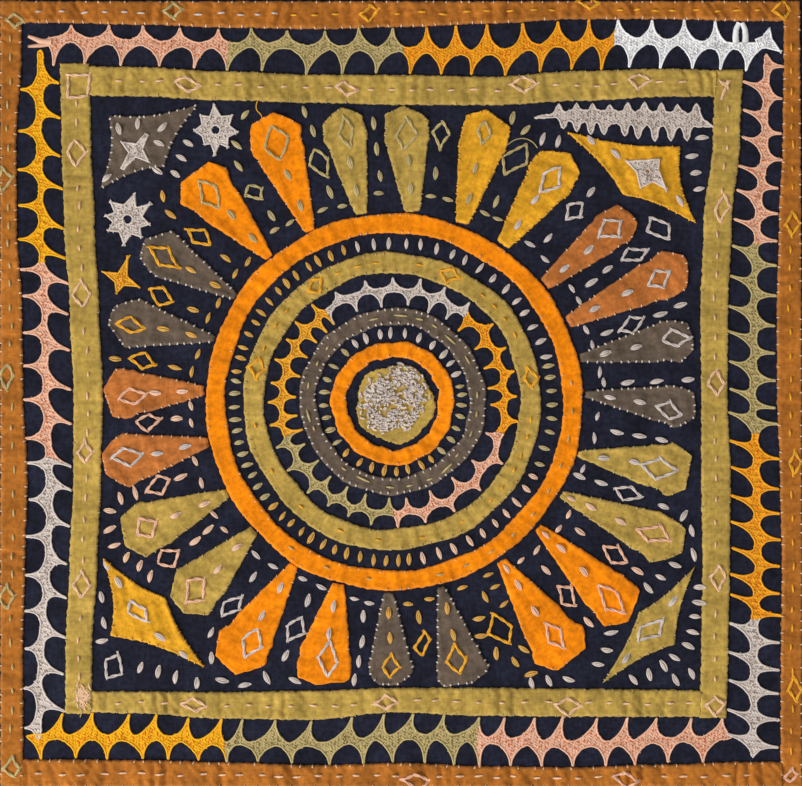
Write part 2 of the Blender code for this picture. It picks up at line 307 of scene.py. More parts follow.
def layCloth(name, cloth, plan, counts, seed, around=False, gather=None, shape=clothShape, gridBack=False,
             butted=False):
    # plan gives the outline in mm for u, v from -1 to 1. gather adds folds, from mm along and across
    nu, nv = counts
    u = np.linspace(-1, 1, nu, endpoint=False) if around else closerAtEnds(nu, 1.25)
    u, v = np.meshgrid(u, closerAtEnds(nv), indexing="ij")
    here = np.stack(plan(u, v), -1)
    low, high = (np.stack(plan(u, np.full_like(v, side)), -1) for side in (-1, 1))
    toLow, toHigh = (np.linalg.norm(here - edge, axis=-1) for edge in (low, high))
    inside = np.minimum(toLow, toHigh)
    middleX, middleY = plan(u, np.zeros_like(v))
    steps = np.hypot(np.diff(middleX[:, 0]), np.diff(middleY[:, 0]))
    along = np.concatenate([[0], np.cumsum(steps)])[:, None] + 0 * v
    across = (toLow - toHigh) / 2
    if not around:
        left, right = (np.stack(plan(np.full_like(u, side), v), -1) for side in (-1, 1))
        if not butted:  # a butted end runs in under another piece
            toLeft, toRight = (np.linalg.norm(here - end, axis=-1) for end in (left, right))
            inside = np.minimum(inside, np.minimum(toLeft, toRight))
    # the cut edge strays, and each hemming stitch nips it in
    lengths = (3.1, 5.3, 9.7, 17.0)
    stray = np.where(v > 0, waver(along, lengths, seed), waver(along, lengths,
                                                               seed + 50)) * shape["edgeStray"]
    stray = stray - shape["nip"] * (0.5 + 0.5 * np.cos(math.tau * along / shape["stitchPitch"])) ** 3
    if around:
        stray = stray * np.minimum(1, np.minimum(along, along.max() - along) / 6)
    here = here + unit(high - low, 1e-6) * (stray * np.sign(v) * np.abs(v) ** 6)[..., None]
    if not around:
        stray = waver(across, (2.7, 4.9, 8.3), seed + 90) * shape["edgeStray"]
        here = here + unit(right - left, 1e-6) * (stray * np.sign(u) * np.abs(u) ** 8)[..., None]
    x, y = here[..., 0], here[..., 1]
    rolled = 1 - np.clip(inside / shape["roll"], 0, 1)
    rise = shape["layer"] * np.sqrt(1 - rolled ** 2)
    rise = rise + shape["turningRise"] * np.exp(-((inside - shape["turnedUnder"] / 2) / 1.1) ** 2)
    rise = rise - shape["dip"] * (1 - np.exp(-(inside / 4) ** 2))
    rise = rise + shape["ripple"] * waver(x + 0.6 * y, (7.3, 11.9), seed + 7) * np.clip(inside, 0, 1)
    if gather is not None:
        fromEdge, fromRoll = np.clip(0.25 + inside / 2.5, 0, 1), np.clip(inside / 0.5, 0, 1)
        rise = rise + gather(along, across, x, y) * fromEdge * fromRoll
    rise = np.maximum(rise, shape["least"] * np.sqrt(1 - rolled ** 2))
    z = groundTop(x, y) + shape["lift"] + rise
    points = np.stack([x, y, z], -1).reshape(-1, 3)
    top, rest = shellFaces(nu, nv, around, gridBack)
    if facesDown(points, top):
        top, rest = [face[::-1] for face in top], [face[::-1] for face in rest]
    wear = np.exp(-((inside - 1.0) / 0.7) ** 2).ravel()
    along, across = along.ravel(), across.ravel()
    if gridBack:
        inner = np.zeros((nu, nv), bool)
        inner[1:-1, 1:-1] = True
        inner = inner.ravel()
        under = points[inner]
        under[:, 2] = groundTop(under[:, 0], under[:, 1]) + shape["lift"]
        points = np.concatenate([points, under])
        wear, along, across = (np.concatenate([field, field[inner]]) for field in (wear, along, across))
    piece = makeMesh(name + "_cotton", points, top + rest, clothMaterials[cloth], {"wear": wear})
    setCut(piece, np.stack([along, across], -1))
    clothPieces[name] = piece
    return sum(piece.data.polygons[k].area for k in range(len(top)))


def declareCloth(node):
    piece = clothPieces[node]
    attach(piece, "root")
    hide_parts(node)


ground = dict(
    side=450.0,
    edgeStray=0.7,
    cells=222,
    hemWidth=12.0,
    quilting=0.16,  # how deep the two layers are drawn in between stitches
)


def groundPlan(u, v):
    half = ground["side"] / 2 - ground["edgeStray"]
    strayX = u * np.abs(u) * np.sin(5.1 * v + 1.0 + u)
    strayY = v * np.abs(v) * np.sin(4.3 * u + 2.6 + v)
    return u * half + strayX * ground["edgeStray"], v * half + strayY * ground["edgeStray"]


def makeGround():
    edge = 1 - np.array([0.0, 0.0012, 0.0028, 0.005])  # finer along the fold of the hem
    lines = np.unique(np.concatenate([np.linspace(-1, 1, ground["cells"]), edge, -edge]))
    u, v = np.meshgrid(lines, lines, indexing="ij")
    x, y = groundPlan(u, v)
    inside = np.minimum((1 - np.abs(u)), (1 - np.abs(v))) * ground["side"] / 2
    z = groundTop(x, y)
    quilt = waver(x + 0.3 * y, (8.7, 12.9, 21), 3) + waver(y - 0.2 * x, (9.1, 13.3, 18), 4)
    z = z + ground["quilting"] * quilt * np.clip(inside / 6, 0, 1)
    hem = np.exp(-((inside - ground["hemWidth"]) / 0.9) ** 2)  # the hem's inner edge shows as a faint step
    z = z - 0.22 * hem - 0.12 * np.clip((inside - ground["hemWidth"]) / 2, 0, 1) + 0.12
    rolled = 1 - np.clip(inside / 1.5, 0, 1)
    z = z * np.sqrt(1 - rolled ** 2)
    points = np.stack([x, y, z], -1).reshape(-1, 3)
    top, rest = shellFaces(len(lines), len(lines), False)
    if facesDown(points, top):
        top, rest = [face[::-1] for face in top], [face[::-1] for face in rest]
    wear = np.exp(-((inside - 1.0) / 0.8) ** 2).ravel() * 0.5
    piece = makeMesh("ground_cloth_cotton", points, top + rest, clothMaterials["navy"], {"wear": wear})
    setCut(piece, points[:, :2])
    clothPieces["ground_cloth"] = piece
    declareCloth("ground_cloth")


makeGround()

stations = np.arange(-180, 181, 45)  # where the edges of the strips are given, as in the part
sideStrips = {
    # name: cloth, lowest and highest end, left edge, right edge
    "border_left": ("rust", -208.8, 208.6, (-212.3,) * 9,
                    (-200.0, -200.1, -198.9, -197.7, -199.9, -200.5, -203.3, -203.6, -200.8)),
    "border_right": ("rust", -208.8, 208.6, (201.5, 201.7, 202.2, 201.2, 199.6, 199.5, 200.6, 202.6, 203.1),
                     (213.2, 213.2, 213.2, 213.0, 213.0, 212.8, 212.6, 212.4, 212.0)),
    "frame_left": ("olive", -169.6, 175.2, (-177.9, -177.7, -175.6, -173.6, -173.5, -175.5, -178.5, -179.9,
                                            -180.7),
                   (-163.6, -163.3, -160.6, -158.6, -157.6, -159.7, -162.0, -164.0, -164.7)),
    "frame_right": ("olive", -171.6, 171.8, (157.9, 159.4, 160.1, 159.4, 159.4, 159.0, 160.6, 165.5, 167.2),
                    (172.8, 174.0, 174.9, 175.3, 173.6, 174.0, 175.8, 180.2, 182.0)),
}
crossStrips = {
    # name: cloth, left and right neighbour, lower edge, upper edge
    "border_bottom": ("rust", "border_left", "border_right", (-208.8,) * 9,
                      (-193.7, -194.1, -195.3, -196.7, -195.6, -197.3, -197.8, -196.4, -195.0)),
    "border_top": ("rust", "border_left", "border_right",
                   (196.6, 195.7, 194.1, 193.3, 194.5, 196.3, 198.6, 198.7, 197.6), (208.4,) * 9),
    "frame_bottom": ("olive", "frame_left", "frame_right",
                     (-168.3, -169.5, -172.3, -173.0, -169.0, -170.8, -171.2, -171.3, -171.2),
                     (-157.4, -157.6, -157.9, -157.3, -155.6, -155.6, -156.1, -156.6, -157.7)),
    "frame_top": ("olive", "frame_left", "frame_right",
                  (158.3, 157.7, 155.5, 154.2, 153.1, 153.0, 155.3, 157.5, 157.6),
                  (174.3, 173.6, 171.2, 169.4, 169.3, 168.4, 171.5, 172.7, 170.7)),
}
seamGap = -0.5  # the ends of the cross strips run in under the side strips' folds


def edgeAt(values, place):
    # the value at this place of a smooth line through those given at the stations
    place = np.clip(place, stations[0], stations[-1])
    step = stations[1] - stations[0]
    before = np.minimum((place - stations[0]) // step, len(values) - 2).astype(int)
    share = (1 - np.cos(math.pi * (place - stations[before]) / step)) / 2
    values = np.asarray(values)
    return values[before] + (values[before + 1] - values[before]) * share


def sideEdge(name, y, side):
    # x of a side strip's left edge, middle or right edge at this height, for side -1, 0 and 1
    left, right = sideStrips[name][3:]
    return (edgeAt(left, y) * (1 - side) + edgeAt(right, y) * (1 + side)) / 2


def crossEdge(name, x, side):
    # y of a cross strip's lower edge, middle or upper edge at this place
    lower, upper = crossStrips[name][3:]
    return (edgeAt(lower, x) * (1 - side) + edgeAt(upper, x) * (1 + side)) / 2


gathers = dict(  # how high the cloth is drawn up into folds along each strip
    border_top=2.7, border_bottom=2.7, border_left=1.4, border_right=1.3,
    frame_top=2.1, frame_bottom=1.9, frame_left=1.1, frame_right=1.1)
foldPitch = 10.4


def foldsAlong(along, across, seed):
    # broad ridges with narrow valleys between them, where the stitches draw the cloth down
    phase = along / foldPitch + 0.75 * waver(along, (31, 53, 87), seed)
    phase = phase + 0.035 * across * waver(along, (41, 67), seed + 2)
    ridge = np.abs(np.sin(math.pi * phase)) ** 0.75 - 0.35
    fine = 0.22 * waver(along + 0.8 * across, (4.3, 6.1), seed + 4)
    return (ridge + fine) * (0.62 + 0.38 * waver(along, (37, 59), seed + 3))


def gatherOf(name, seed):
    depth = gathers[name]

    def gather(along, across, x, y):
        return depth * foldsAlong(along, across, seed)
    return gather


def makeStrips():
    seed = 10
    for name, (cloth, lowest, highest, leftEdge, rightEdge) in sideStrips.items():
        def plan(u, v):
            y = (lowest + highest) / 2 + u * (highest - lowest) / 2
            return sideEdge(name, y, -v), y

        seed += 1
        layCloth(name, cloth, plan, (380, 15), gather=gatherOf(name, seed), seed=seed)
        wide = sideEdge(name, 0.0, 1) - sideEdge(name, 0.0, -1)
        declareCloth(name)
    for name, (cloth, left, right, lowerEdge, upperEdge) in crossStrips.items():
        reach = (sideEdge(right, 0.0, -1) - sideEdge(left, 0.0, 1)) / 2

        def plan(u, v):
            y = crossEdge(name, u * reach, v)
            fromX, toX = sideEdge(left, y, 1) + seamGap, sideEdge(right, y, -1) - seamGap
            return fromX + (toX - fromX) * (u + 1) / 2, y

        seed += 1
        layCloth(name, cloth, plan, (380, 15), gather=gatherOf(name, seed), seed=seed, butted=True)
        wide = crossEdge(name, 0.0, 1) - crossEdge(name, 0.0, -1)
        declareCloth(name)


rings = {
    # name: cloth, centre, inner and outer radius, lobes, depth of the gathers
    "ring_outer": ("orange", (-3.6, -4.2), 89.4, 100.1, 3, 0.34),
    "ring_second": ("olive", (-4.2, -4.0), 67.8, 79.1, 5, 0.5),
    "ring_third": ("taupe", (-4.0, -3.8), 40.3, 49.5, 4, 0.45),
    "ring_inner": ("orange", (-3.9, -4.7), 24.3, 32.8, 3, 0.4),
}


def makeRings():
    seed = 30
    for name, (cloth, centre, inner, outer, lobes, depth) in rings.items():
        def plan(u, v):
            angle = -math.pi * u + 1.9
            wander = 0.45 * np.sin(9 * angle + inner) * np.sin(2 * angle + outer)
            wander = wander + 0.35 * np.sin(14 * angle + outer) * v
            radius = (inner + outer) / 2 + v * (outer - inner) / 2 + 0.4 * np.sin(lobes * angle + inner)
            radius = radius + wander
            return centre[0] + radius * np.cos(angle), centre[1] + radius * np.sin(angle)

        around = math.pi * (inner + outer)

        def gather(along, across, x, y):
            count = max(5, round(around / 9.5))
            folds = np.sin(math.tau * count * along / around + across / 6)
            folds = folds * (0.6 + 0.4 * np.sin(math.tau * 3 * along / around + seed))
            folds = folds + 0.5 * np.sin(math.tau * round(count * 1.6) * along / around + 1)
            fromJoin = np.minimum(along, np.abs(along.max() - along))  # its two ends meet in a crease
            return depth * folds - 0.6 * np.exp(-(fromJoin / 0.7) ** 2)

        seed += 1
        layCloth(name, cloth, plan, (round(around / 1.2), 13), around=True, gather=gather, seed=seed)
        declareCloth(name)


disc = dict(centre=(-2.8, -5.2), radius=20.8)


def makeDisc():
    # a raw-edged scrap: its edge is ragged where the weave has come away
    def plan(u, v):
        x, y = u * np.sqrt(1 - v * v / 2), v * np.sqrt(1 - u * u / 2)
        angle = np.arctan2(y, x)
        radius = disc["radius"] * (1 + 0.04 * np.cos(5 * angle + 0.6))
        ragged = waver(angle * disc["radius"], (1.9, 3.3, 6.1, 11.0), 44) * 0.03
        radius = radius * (1 + ragged * np.maximum(np.abs(u), np.abs(v)) ** 6)
        return disc["centre"][0] + x * radius, disc["centre"][1] + y * radius

    shape = dict(clothShape, layer=0.6, roll=0.5, edgeStray=0.5)
    layCloth("centre_disc", "olive", plan, (40, 40), seed=44, shape=shape, gridBack=True)
    declareCloth("centre_disc")


rayStart = 101.2  # just outside the outer ring
rays = (
    # foot and head direction, reach, width, cloth, thread, width of the foot, how far along it is widest,
    # how broad its end is beside its width
    (100.0, 100.5, 158.0, 23.6, "olive", "khaki", 6.4, 0.8, 0.7),
    (84.6, 88.1, 156.4, 24.8, "olive", "khaki", 8.0, 0.8, 0.75),
    (69.3, 71.7, 162.0, 27.6, "gold", "khaki", 7.0, 0.84, 0.62),
    (55.4, 55.1, 160.6, 27.2, "gold", "grey", 7.6, 0.8, 0.62),
    (38.1, 38.5, 161.2, 21.8, "pale_rust", "cream", 7.4, 0.82, 0.62),
    (24.8, 25.1, 172.6, 25.0, "pale_rust", "cream", 6.6, 0.84, 0.6),
    (13.3, 12.3, 162.6, 23.6, "taupe", "cream", 4.4, 0.86, 0.62),
    (2.4, -1.3, 160.2, 22.4, "taupe", "cream", 3.2, 0.86, 0.66),
    (-15.8, -13.4, 162.2, 27.4, "olive", "cream", 3.2, 0.84, 0.66),
    (-29.0, -26.8, 171.2, 27.0, "olive", "pink", 4.0, 0.86, 0.68),
    (-41.2, -42.2, 169.6, 27.8, "orange", "pink", 4.8, 0.86, 0.66),
    (-56.2, -55.9, 167.4, 31.0, "orange", "pink", 4.8, 0.84, 0.66),
    (-75.9, -75.9, 154.6, 28.2, "taupe", "gold", 3.6, 0.92, 0.84),
    (-91.8, -90.7, 150.2, 24.8, "taupe", "gold", 5.0, 0.9, 0.82),
    (-107.1, -104.9, 155.2, 31.0, "orange", "grey", 6.4, 0.86, 0.76),
    (-121.6, -121.8, 167.0, 29.4, "orange", "grey", 4.4, 0.82, 0.62),
    (-137.6, -136.4, 158.2, 29.2, "olive", "pink", 5.4, 0.8, 0.56),
    (-151.3, -153.3, 161.4, 28.8, "olive", "pink", 5.0, 0.82, 0.62),
    (-167.8, -167.8, 157.8, 28.8, "pale_rust", "cream", 5.0, 0.84, 0.66),
    (176.6, 178.5, 154.0, 26.8, "pale_rust", "pink", 5.0, 0.84, 0.7),
    (160.7, 163.6, 157.4, 26.8, "taupe", "gold", 3.2, 0.82, 0.58),
    (146.5, 147.6, 157.4, 26.0, "taupe", "gold", 3.6, 0.84, 0.58),
    (130.9, 131.6, 163.4, 29.8, "orange", "khaki", 4.4, 0.84, 0.6),
    (116.3, 114.1, 166.2, 29.4, "orange", "khaki", 5.6, 0.84, 0.7),
)


def snipped(angle, seed):
    # a head isn't cut round but in seven straight snips: how far out its edge lies in each direction
    place = np.arange(8)
    corners = math.tau / 7 * (place + 0.13 * np.sin(seed * 7.3 + (place % 7) * 2.9))
    turn = (angle + seed - corners[0]) % math.tau + corners[0]
    before = np.clip(np.searchsorted(corners, turn, side="right") - 1, 0, 6)
    low, high = corners[before], corners[before + 1]
    return 1.065 * np.cos((high - low) / 2) / np.cos(turn - (low + high) / 2)


def rayPoint(ray, share, across):
    # a place on a ray: share of its length, and -1 to 1 across it
    foot, head, reach, width = ray[:4]
    footWidth, widest, end = ray[6:]
    start, tip = np.array(polar(foot, rayStart, (0, 0))), np.array(polar(head, reach, (0, 0)))
    along = tip - start
    aside = np.array([-along[1], along[0]]) / np.linalg.norm(along)
    taper = (footWidth + (width - footWidth) * np.clip(share / widest, 0, 1) ** 0.94) / 2
    past = np.clip((share - widest) / (1 - widest), 0, 1)
    half = np.where(share < widest, taper, width / 2 * np.sqrt(1 - (1 - end * end) * past * past))
    run = 0.95 * share + 0.05 * share * (1 - across * across)
    x = start[0] + along[0] * run + aside[0] * across * half
    y = start[1] + along[1] * run + aside[1] * across * half
    middle = start + along * 0.74
    nearHead = np.clip((share - 0.5) / 0.3, 0, 1)
    snips = snipped(np.arctan2(y - middle[1], x - middle[0]), reach)
    out = 1 + nearHead * nearHead * (3 - 2 * nearHead) * (snips - 1)
    x = middle[0] + (x - middle[0]) * out
    y = middle[1] + (y - middle[1]) * out
    return x + medallion[0], y + medallion[1]


def makeRays():
    for number, ray in enumerate(rays, 1):
        def plan(u, v):
            return rayPoint(ray, 1 - (1 - (u + 1) / 2) ** 1.3, v)

        def gather(along, across, x, y):
            broad = waver(along + across / 3, (7.7, 12.9), number)
            return 0.55 * broad + 0.4 * waver(across, (6.7, 11.1), number + 9)

        name = f"ray_{number:02d}"
        cloth = ray[4]
        layCloth(name, cloth, plan, (46, 19), gather=gather, seed=60 + number)
        declareCloth(name)


lozenges = {
    "lozenge_top_left": ("taupe", ((-159.4, 108.6), (-125.0, 120.6), (-107.0, 153.6), (-154.6, 148.0))),
    "lozenge_top_right": ("gold", ((118.0, 105.6), (157.0, 90.0), (148.6, 131.6), (87.6, 139.4))),
    "lozenge_bottom_left": ("gold", ((-153.8, -128.4), (-103.6, -145.2), (-124.4, -108.0),
                                     (-157.6, -87.0))),
    "lozenge_bottom_right": ("olive", ((106.6, -154.0), (145.6, -133.0), (156.6, -91.0), (126.6, -115.6))),
}


lozengePinch = 0.16  # how far a lozenge's sides bend in, as in the part


def lozengePoint(corners, u, v):
    corners = [np.array(corner) for corner in corners]
    middle = sum(corners) / 4
    share, rise = (u + 1) / 2, (v + 1) / 2
    side = u ** 2 * (1 - v ** 2) + v ** 2 * (1 - u ** 2)
    place = []
    for axis in (0, 1):
        low = corners[0][axis] + (corners[1][axis] - corners[0][axis]) * share
        high = corners[3][axis] + (corners[2][axis] - corners[3][axis]) * share
        point = low + (high - low) * rise
        place.append(middle[axis] + (point - middle[axis]) * (1 - lozengePinch * side))
    return place[0], place[1]


def makeLozenges():
    for number, (name, (cloth, corners)) in enumerate(lozenges.items()):
        def plan(u, v):
            return lozengePoint(corners, u, v)

        def gather(along, across, x, y):
            broad = waver(x + 0.4 * y, (7.1, 12.3), 80 + number)
            return 0.5 * broad + 0.35 * waver(y, (8.3, 13.1), 70 + number)

        area = layCloth(name, cloth, plan, (40, 40), gather=gather, seed=90 + number, gridBack=True)
        declareCloth(name)


makeStrips()
makeRings()
makeDisc()
makeRays()
makeLozenges()
print("cloth done:", len(clothPieces), "pieces")


# thread
def clothTree():
    points, faces = [], []
    for piece in clothPieces.values():
        first = len(points)
        points += [vert.co.copy() for vert in piece.data.vertices]
        corners = [face.vertices for face in piece.data.polygons if len(face.vertices) == 4]
        faces += [[first + k for k in face] for face in corners]
    return BVHTree.FromPolygons(points, faces)


surfaceTree = clothTree()
down = Vector((0, 0, -1))
overAll = 0.02  # metres, well above the cloth


def surfaceAt(x, y):
    # height of whatever cloth is on top at each place
    heights = []
    for placeX, placeY in zip(np.ravel(x), np.ravel(y)):
        hit = surfaceTree.ray_cast(Vector((placeX * mm, placeY * mm, overAll)), down)[0]
        heights.append(hit.z / mm if hit else 0.0)
    return np.reshape(heights, np.shape(x))


skeins = {}
threadDraws = np.random.default_rng(11)


def skeinOf(name, colour):
    return skeins.setdefault(name, dict(colour=colour, points=[], faces=[], uv=[], shade=[], count=0))


def wind(skein, points, faces, uv, shades):
    # adds thread to a skein. faces are arrays of places in points, and uv is one row for each corner
    for group in faces:
        skein["faces"] += (group + skein["count"]).tolist()
    skein["uv"] += uv
    skein["points"].append(points)
    skein["shade"].append(np.broadcast_to(shades, len(points)))
    skein["count"] += len(points)


def tubeFaces(places, sides):
    # a tube's faces, its two ends, and where the faces' corners are along it, from places, and round it
    i, j = np.meshgrid(np.arange(len(places) - 1), np.arange(sides), indexing="ij")
    corners = ((i, j + 1), (i + 1, j + 1), (i + 1, j), (i, j))
    faces = np.stack([ring * sides + side % sides for ring, side in corners], -1).reshape(-1, 4)
    uv = np.stack([np.stack([places[ring], side / sides], -1) for ring, side in corners], -2)
    ends = np.stack([np.arange(sides), np.arange((len(places) - 1) * sides, len(places) * sides)[::-1]])
    return faces, ends, uv.reshape(-1, 2)


def layThread(skein, path, radii, sides=5, flatten=0.8, shade=None):
    # a tube along path, closed at both ends. radii is one number or one for each point
    path = np.asarray(path, float)
    radii = np.broadcast_to(np.asarray(radii, float), (len(path),))
    tangent = unit(np.gradient(path, axis=0))
    side = unit(np.stack([tangent[:, 1], -tangent[:, 0], np.zeros(len(path))], -1))
    up = np.cross(side, tangent)
    turns = (np.arange(sides) * math.tau / sides)[None, :, None]
    ring = side[:, None] * np.cos(turns) + up[:, None] * np.sin(turns) * flatten
    points = (path[:, None] + ring * radii[:, None, None]).reshape(-1, 3)
    length = np.concatenate([[0], np.cumsum(np.linalg.norm(np.diff(path, axis=0), axis=1))])
    faces, ends, uv = tubeFaces(length, sides)
    shade = threadDraws.uniform(0.9, 1.08) if shade is None else shade
    wind(skein, points, (faces, ends), [uv * (mm, 1), np.zeros((2 * sides, 2))], shade)


def bindOff(name, skein):
    # turns a skein into one piece
    points, shade, uv = (np.concatenate(skein[k]) for k in ("points", "shade", "uv"))
    piece = makeMesh(name, points, skein["faces"], threadMaterials[skein["colour"]], {"shade": shade})
    setUv(piece, "strand", uv)
    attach(piece, "root")


stitchShape = dict(
    seedWidth=2.75,
    seedHeight=0.9,
    strandOverlap=1.25,
    lineWidth=1.7,
    lineHeight=0.75,
    lineSink=0.2,
    lineTwist=5,  # half a turn of the two strands
)


def alongAndAside(degrees):
    way = math.radians(degrees)
    return np.array([math.cos(way), math.sin(way)]), np.array([-math.sin(way), math.cos(way)])


def layStitch(skein, centre, degrees, length, width, height, strands=3, segments=6, sink=0.25):
    # a few strands side by side, coming up out of the cloth at one end and going in at the other
    run, aside = alongAndAside(degrees)
    t = np.linspace(-1, 1, segments + 1)
    bow = np.cos(t * math.pi / 2 * 0.9)
    base = None
    bend = threadDraws.uniform(-0.12, 0.12) * width if strands > 1 else 0.0
    for strand in range(strands):
        spot = (strand - (strands - 1) / 2) / strands
        stray = threadDraws.uniform(-0.06, 0.06) * width
        offset = spot * width * (0.1 + 0.9 * bow) + bend * (1 - t * t) + stray
        reach = length / 2 * threadDraws.uniform(0.93, 1.05)
        flat = np.asarray(centre)[None] + run[None] * (t * reach)[:, None] + aside[None] * offset[:, None]
        if base is None:
            base = surfaceAt(*flat.T)
        z = base - sink + height * (1 - 0.25 * abs(spot) * 2) * bow ** 0.6
        radius = width / strands / 2 * stitchShape["strandOverlap"] * (0.3 + 0.7 * bow)
        layThread(skein, np.column_stack([flat, z]), radius)


def layLine(skein, start, end, width=stitchShape["lineWidth"]):
    # one side of a diamond: two strands lying half a turn round each other
    start, end = np.asarray(start, float), np.asarray(end, float)
    length = np.linalg.norm(end - start)
    segments = max(4, round(length / 1.3))
    t = np.linspace(0, 1, segments + 1)
    aside = np.array([-(end - start)[1], (end - start)[0]]) / (length + 1e-6)
    middle = start[None] + (end - start)[None] * t[:, None]
    middle = middle + aside[None] * (0.7 * np.sin(t * math.pi) * threadDraws.uniform(-1, 1))[:, None]
    base = surfaceAt(*middle.T)
    arch = np.clip(np.sin(t * math.pi) * 2.2, 0, 1) ** 0.7
    turn = t * length / stitchShape["lineTwist"] * math.pi + threadDraws.uniform(0, 3)
    for strand in (0, math.pi):
        flat = middle + aside[None] * (width * 0.24 * np.cos(turn + strand))[:, None]
        z = base - stitchShape["lineSink"] + stitchShape["lineHeight"] * arch * 0.75
        z = z + 0.16 * np.sin(turn + strand) * arch
        layThread(skein, np.column_stack([flat, z]), width * 0.31 * (0.6 + 0.4 * arch))


def layDiamond(kind, colour, centre, degrees, long, wide, skew):
    # long is measured along the direction. The four sides cross a little past each corner
    skein = skeinOf(f"{kind}_{colour}", colour)
    run, aside = alongAndAside(degrees)
    centre = np.asarray(centre, float)
    jog = threadDraws.uniform(-0.9, 0.9, (4, 2))
    corners = [centre + run * long / 2 + aside * skew, centre + aside * wide / 2 + run * skew,
               centre - run * long / 2 - aside * skew, centre - aside * wide / 2 - run * skew]
    corners = [corner + j for corner, j in zip(corners, jog)]
    for start, end in zip(corners, corners[1:] + corners[:1]):
        way = (end - start) / np.linalg.norm(end - start)
        before, past = threadDraws.uniform(0.1, 0.8), threadDraws.uniform(0.1, 1.9)
        layLine(skein, start - way * before, end + way * past)


# single stitches catch more light than laced thread, so each is a paler shade
seedColours = dict(gold="straw", white="ivory", khaki="sage", pink="blush", grey="ivory", yellow="straw")


def seed(colour, centre, degrees, length, width=stitchShape["seedWidth"]):
    colour = seedColours.get(colour, colour)
    layStitch(skeinOf("seeds_" + colour, colour), centre, degrees, length, width, stitchShape["seedHeight"])


# laced bands: two smooth edge threads, and between them a close mesh of short crossings
lacing = dict(
    column=1.6,  # between one column of crossings and the next
    row=1.5,
    crossing=2.5,  # length of one crossing
    crossingHeight=0.24,
    lean=38,  # how far it leans, in degrees, one way and then the other
    threadRadius=0.5,
    edgeRadius=0.5,
    tipWidth=1.4,
    drop=0.9,  # how far a tip's sides lie below its point
    power=2.0,  # how square the openings are: 2 is round
    powerStray=0.25,
    skew=0.14,  # how far an opening's middle lies to one side
    specks=0.46,  # share of the crossings with the deeper thread over them
)
bedRows = 6


def layMany(skein, x, y, level, degrees, lengths, radii, height, shades, segments=3, sides=4):
    # many short stitches in one go, each rising out of the cloth and going back into it
    t = np.linspace(-1, 1, segments + 1)
    bow = np.cos(t * math.pi / 2 * 0.9)
    way = np.radians(degrees)
    run = np.stack([np.cos(way), np.sin(way)], -1)
    side = np.stack([run[:, 1], -run[:, 0]], -1)
    flat = np.stack([x, y], -1)[:, None] + run[:, None] * (t[None, :, None] * lengths[:, None, None] / 2)
    radius = radii[:, None] * (0.45 + 0.55 * bow)[None]
    turns = np.arange(sides) * math.tau / sides + 0.5
    plan = flat[:, :, None] + side[:, None, None] * (radius[:, :, None] * np.cos(turns))[..., None]
    rise = level[:, None, None] + height * bow[None, :, None] + 0.8 * radius[:, :, None] * np.sin(turns)
    points = np.concatenate([plan, rise[..., None]], -1).reshape(-1, 3)
    faces, ends, uv = tubeFaces((t + 1) / 2, sides)
    first = np.arange(len(x))[:, None, None] * (segments + 1) * sides
    faces, ends = (first + faces).reshape(-1, 4), (first + ends).reshape(-1, sides)
    uv = uv[None] * np.stack([lengths * mm, np.ones(len(x))], -1)[:, None]
    uv = [uv.reshape(-1, 2), np.zeros((2 * sides * len(x), 2))]
    wind(skein, points, (faces, ends), uv, np.repeat(shades, (segments + 1) * sides))


def pastEnds(tips):
    # the tips, and one more past each end, as far off as the last one from the next
    gaps = np.diff(tips)
    return np.concatenate([[tips[0] - gaps[0]], tips, [tips[-1] + gaps[-1]]])


def archEdge(s, tips, heights, level, look):
    # the outline on one side: a round opening between each tip and the next, and each tip rounded off
    reach = np.interp(s, tips, heights)
    tips = pastEnds(tips)
    place = np.clip(np.searchsorted(tips, s) - 1, 0, len(tips) - 2)
    middle = (tips[place] + tips[place + 1]) / 2
    half = (tips[place + 1] - tips[place] - look["tipWidth"]) / 2
    q = np.clip((s - middle) / half, -1, 1)
    # no two openings are alike
    q = np.abs(q + look["skew"] * np.sin(place * 3.1 + len(tips)) * (1 - q * q))
    power = look["power"] + look["powerStray"] * np.sin(place * 2.3 + len(tips))
    outside = (s < (tips[0] + tips[1]) / 2) | (s > (tips[-1] + tips[-2]) / 2)
    q = np.where(outside, 0, q)
    toTip = np.minimum(np.abs(s - tips[place]), np.abs(s - tips[place + 1])) / (look["tipWidth"] / 2)
    reach = reach - np.sign(reach - level) * look["drop"] * np.clip(toTip, 0, 1) ** 1.3
    return reach + (level - reach) * (1 - q ** power) ** (1 / power)


def archSamples(tips, tipWidth, start, end, steps):
    tips = pastEnds(tips)
    found = [start, end]
    for low, high in zip(tips, tips[1:]):
        middle, half = (low + high) / 2, (high - low - tipWidth) / 2
        found += list(middle + half * np.sin(np.linspace(-math.pi / 2, math.pi / 2, steps + 1)))
        found += [high - tipWidth / 4, high, high + tipWidth / 4]
    found = np.unique(np.round(found, 4))
    return found[(found >= start) & (found <= end)]


def layBed(skein, place, s, bottom, top):
    # a thin bed of thread under the crossings
    v = np.linspace(0, 1, bedRows)
    n = bottom[:, None] + (top - bottom)[:, None] * v[None]
    x, y = place(np.repeat(s[:, None], bedRows, 1), n)
    z = surfaceAt(x, y) + 0.02 + 0.36 * (1 - (2 * v - 1) ** 2)[None] ** 0.5
    i, j = np.meshgrid(np.arange(len(s) - 1), np.arange(bedRows - 1), indexing="ij")
    a = i * bedRows + j
    faces = np.stack([a, a + bedRows, a + bedRows + 1, a + 1], -1).reshape(-1, 4)
    points = np.stack([x, y, z], -1).reshape(-1, 3)
    faces = faces[:, ::-1] if facesDown(points, faces) else faces
    flat = np.column_stack([np.repeat(s, bedRows) * mm, np.tile(v, len(s))])
    wind(skein, points, (faces,), [flat[faces.ravel()]], 0.98)


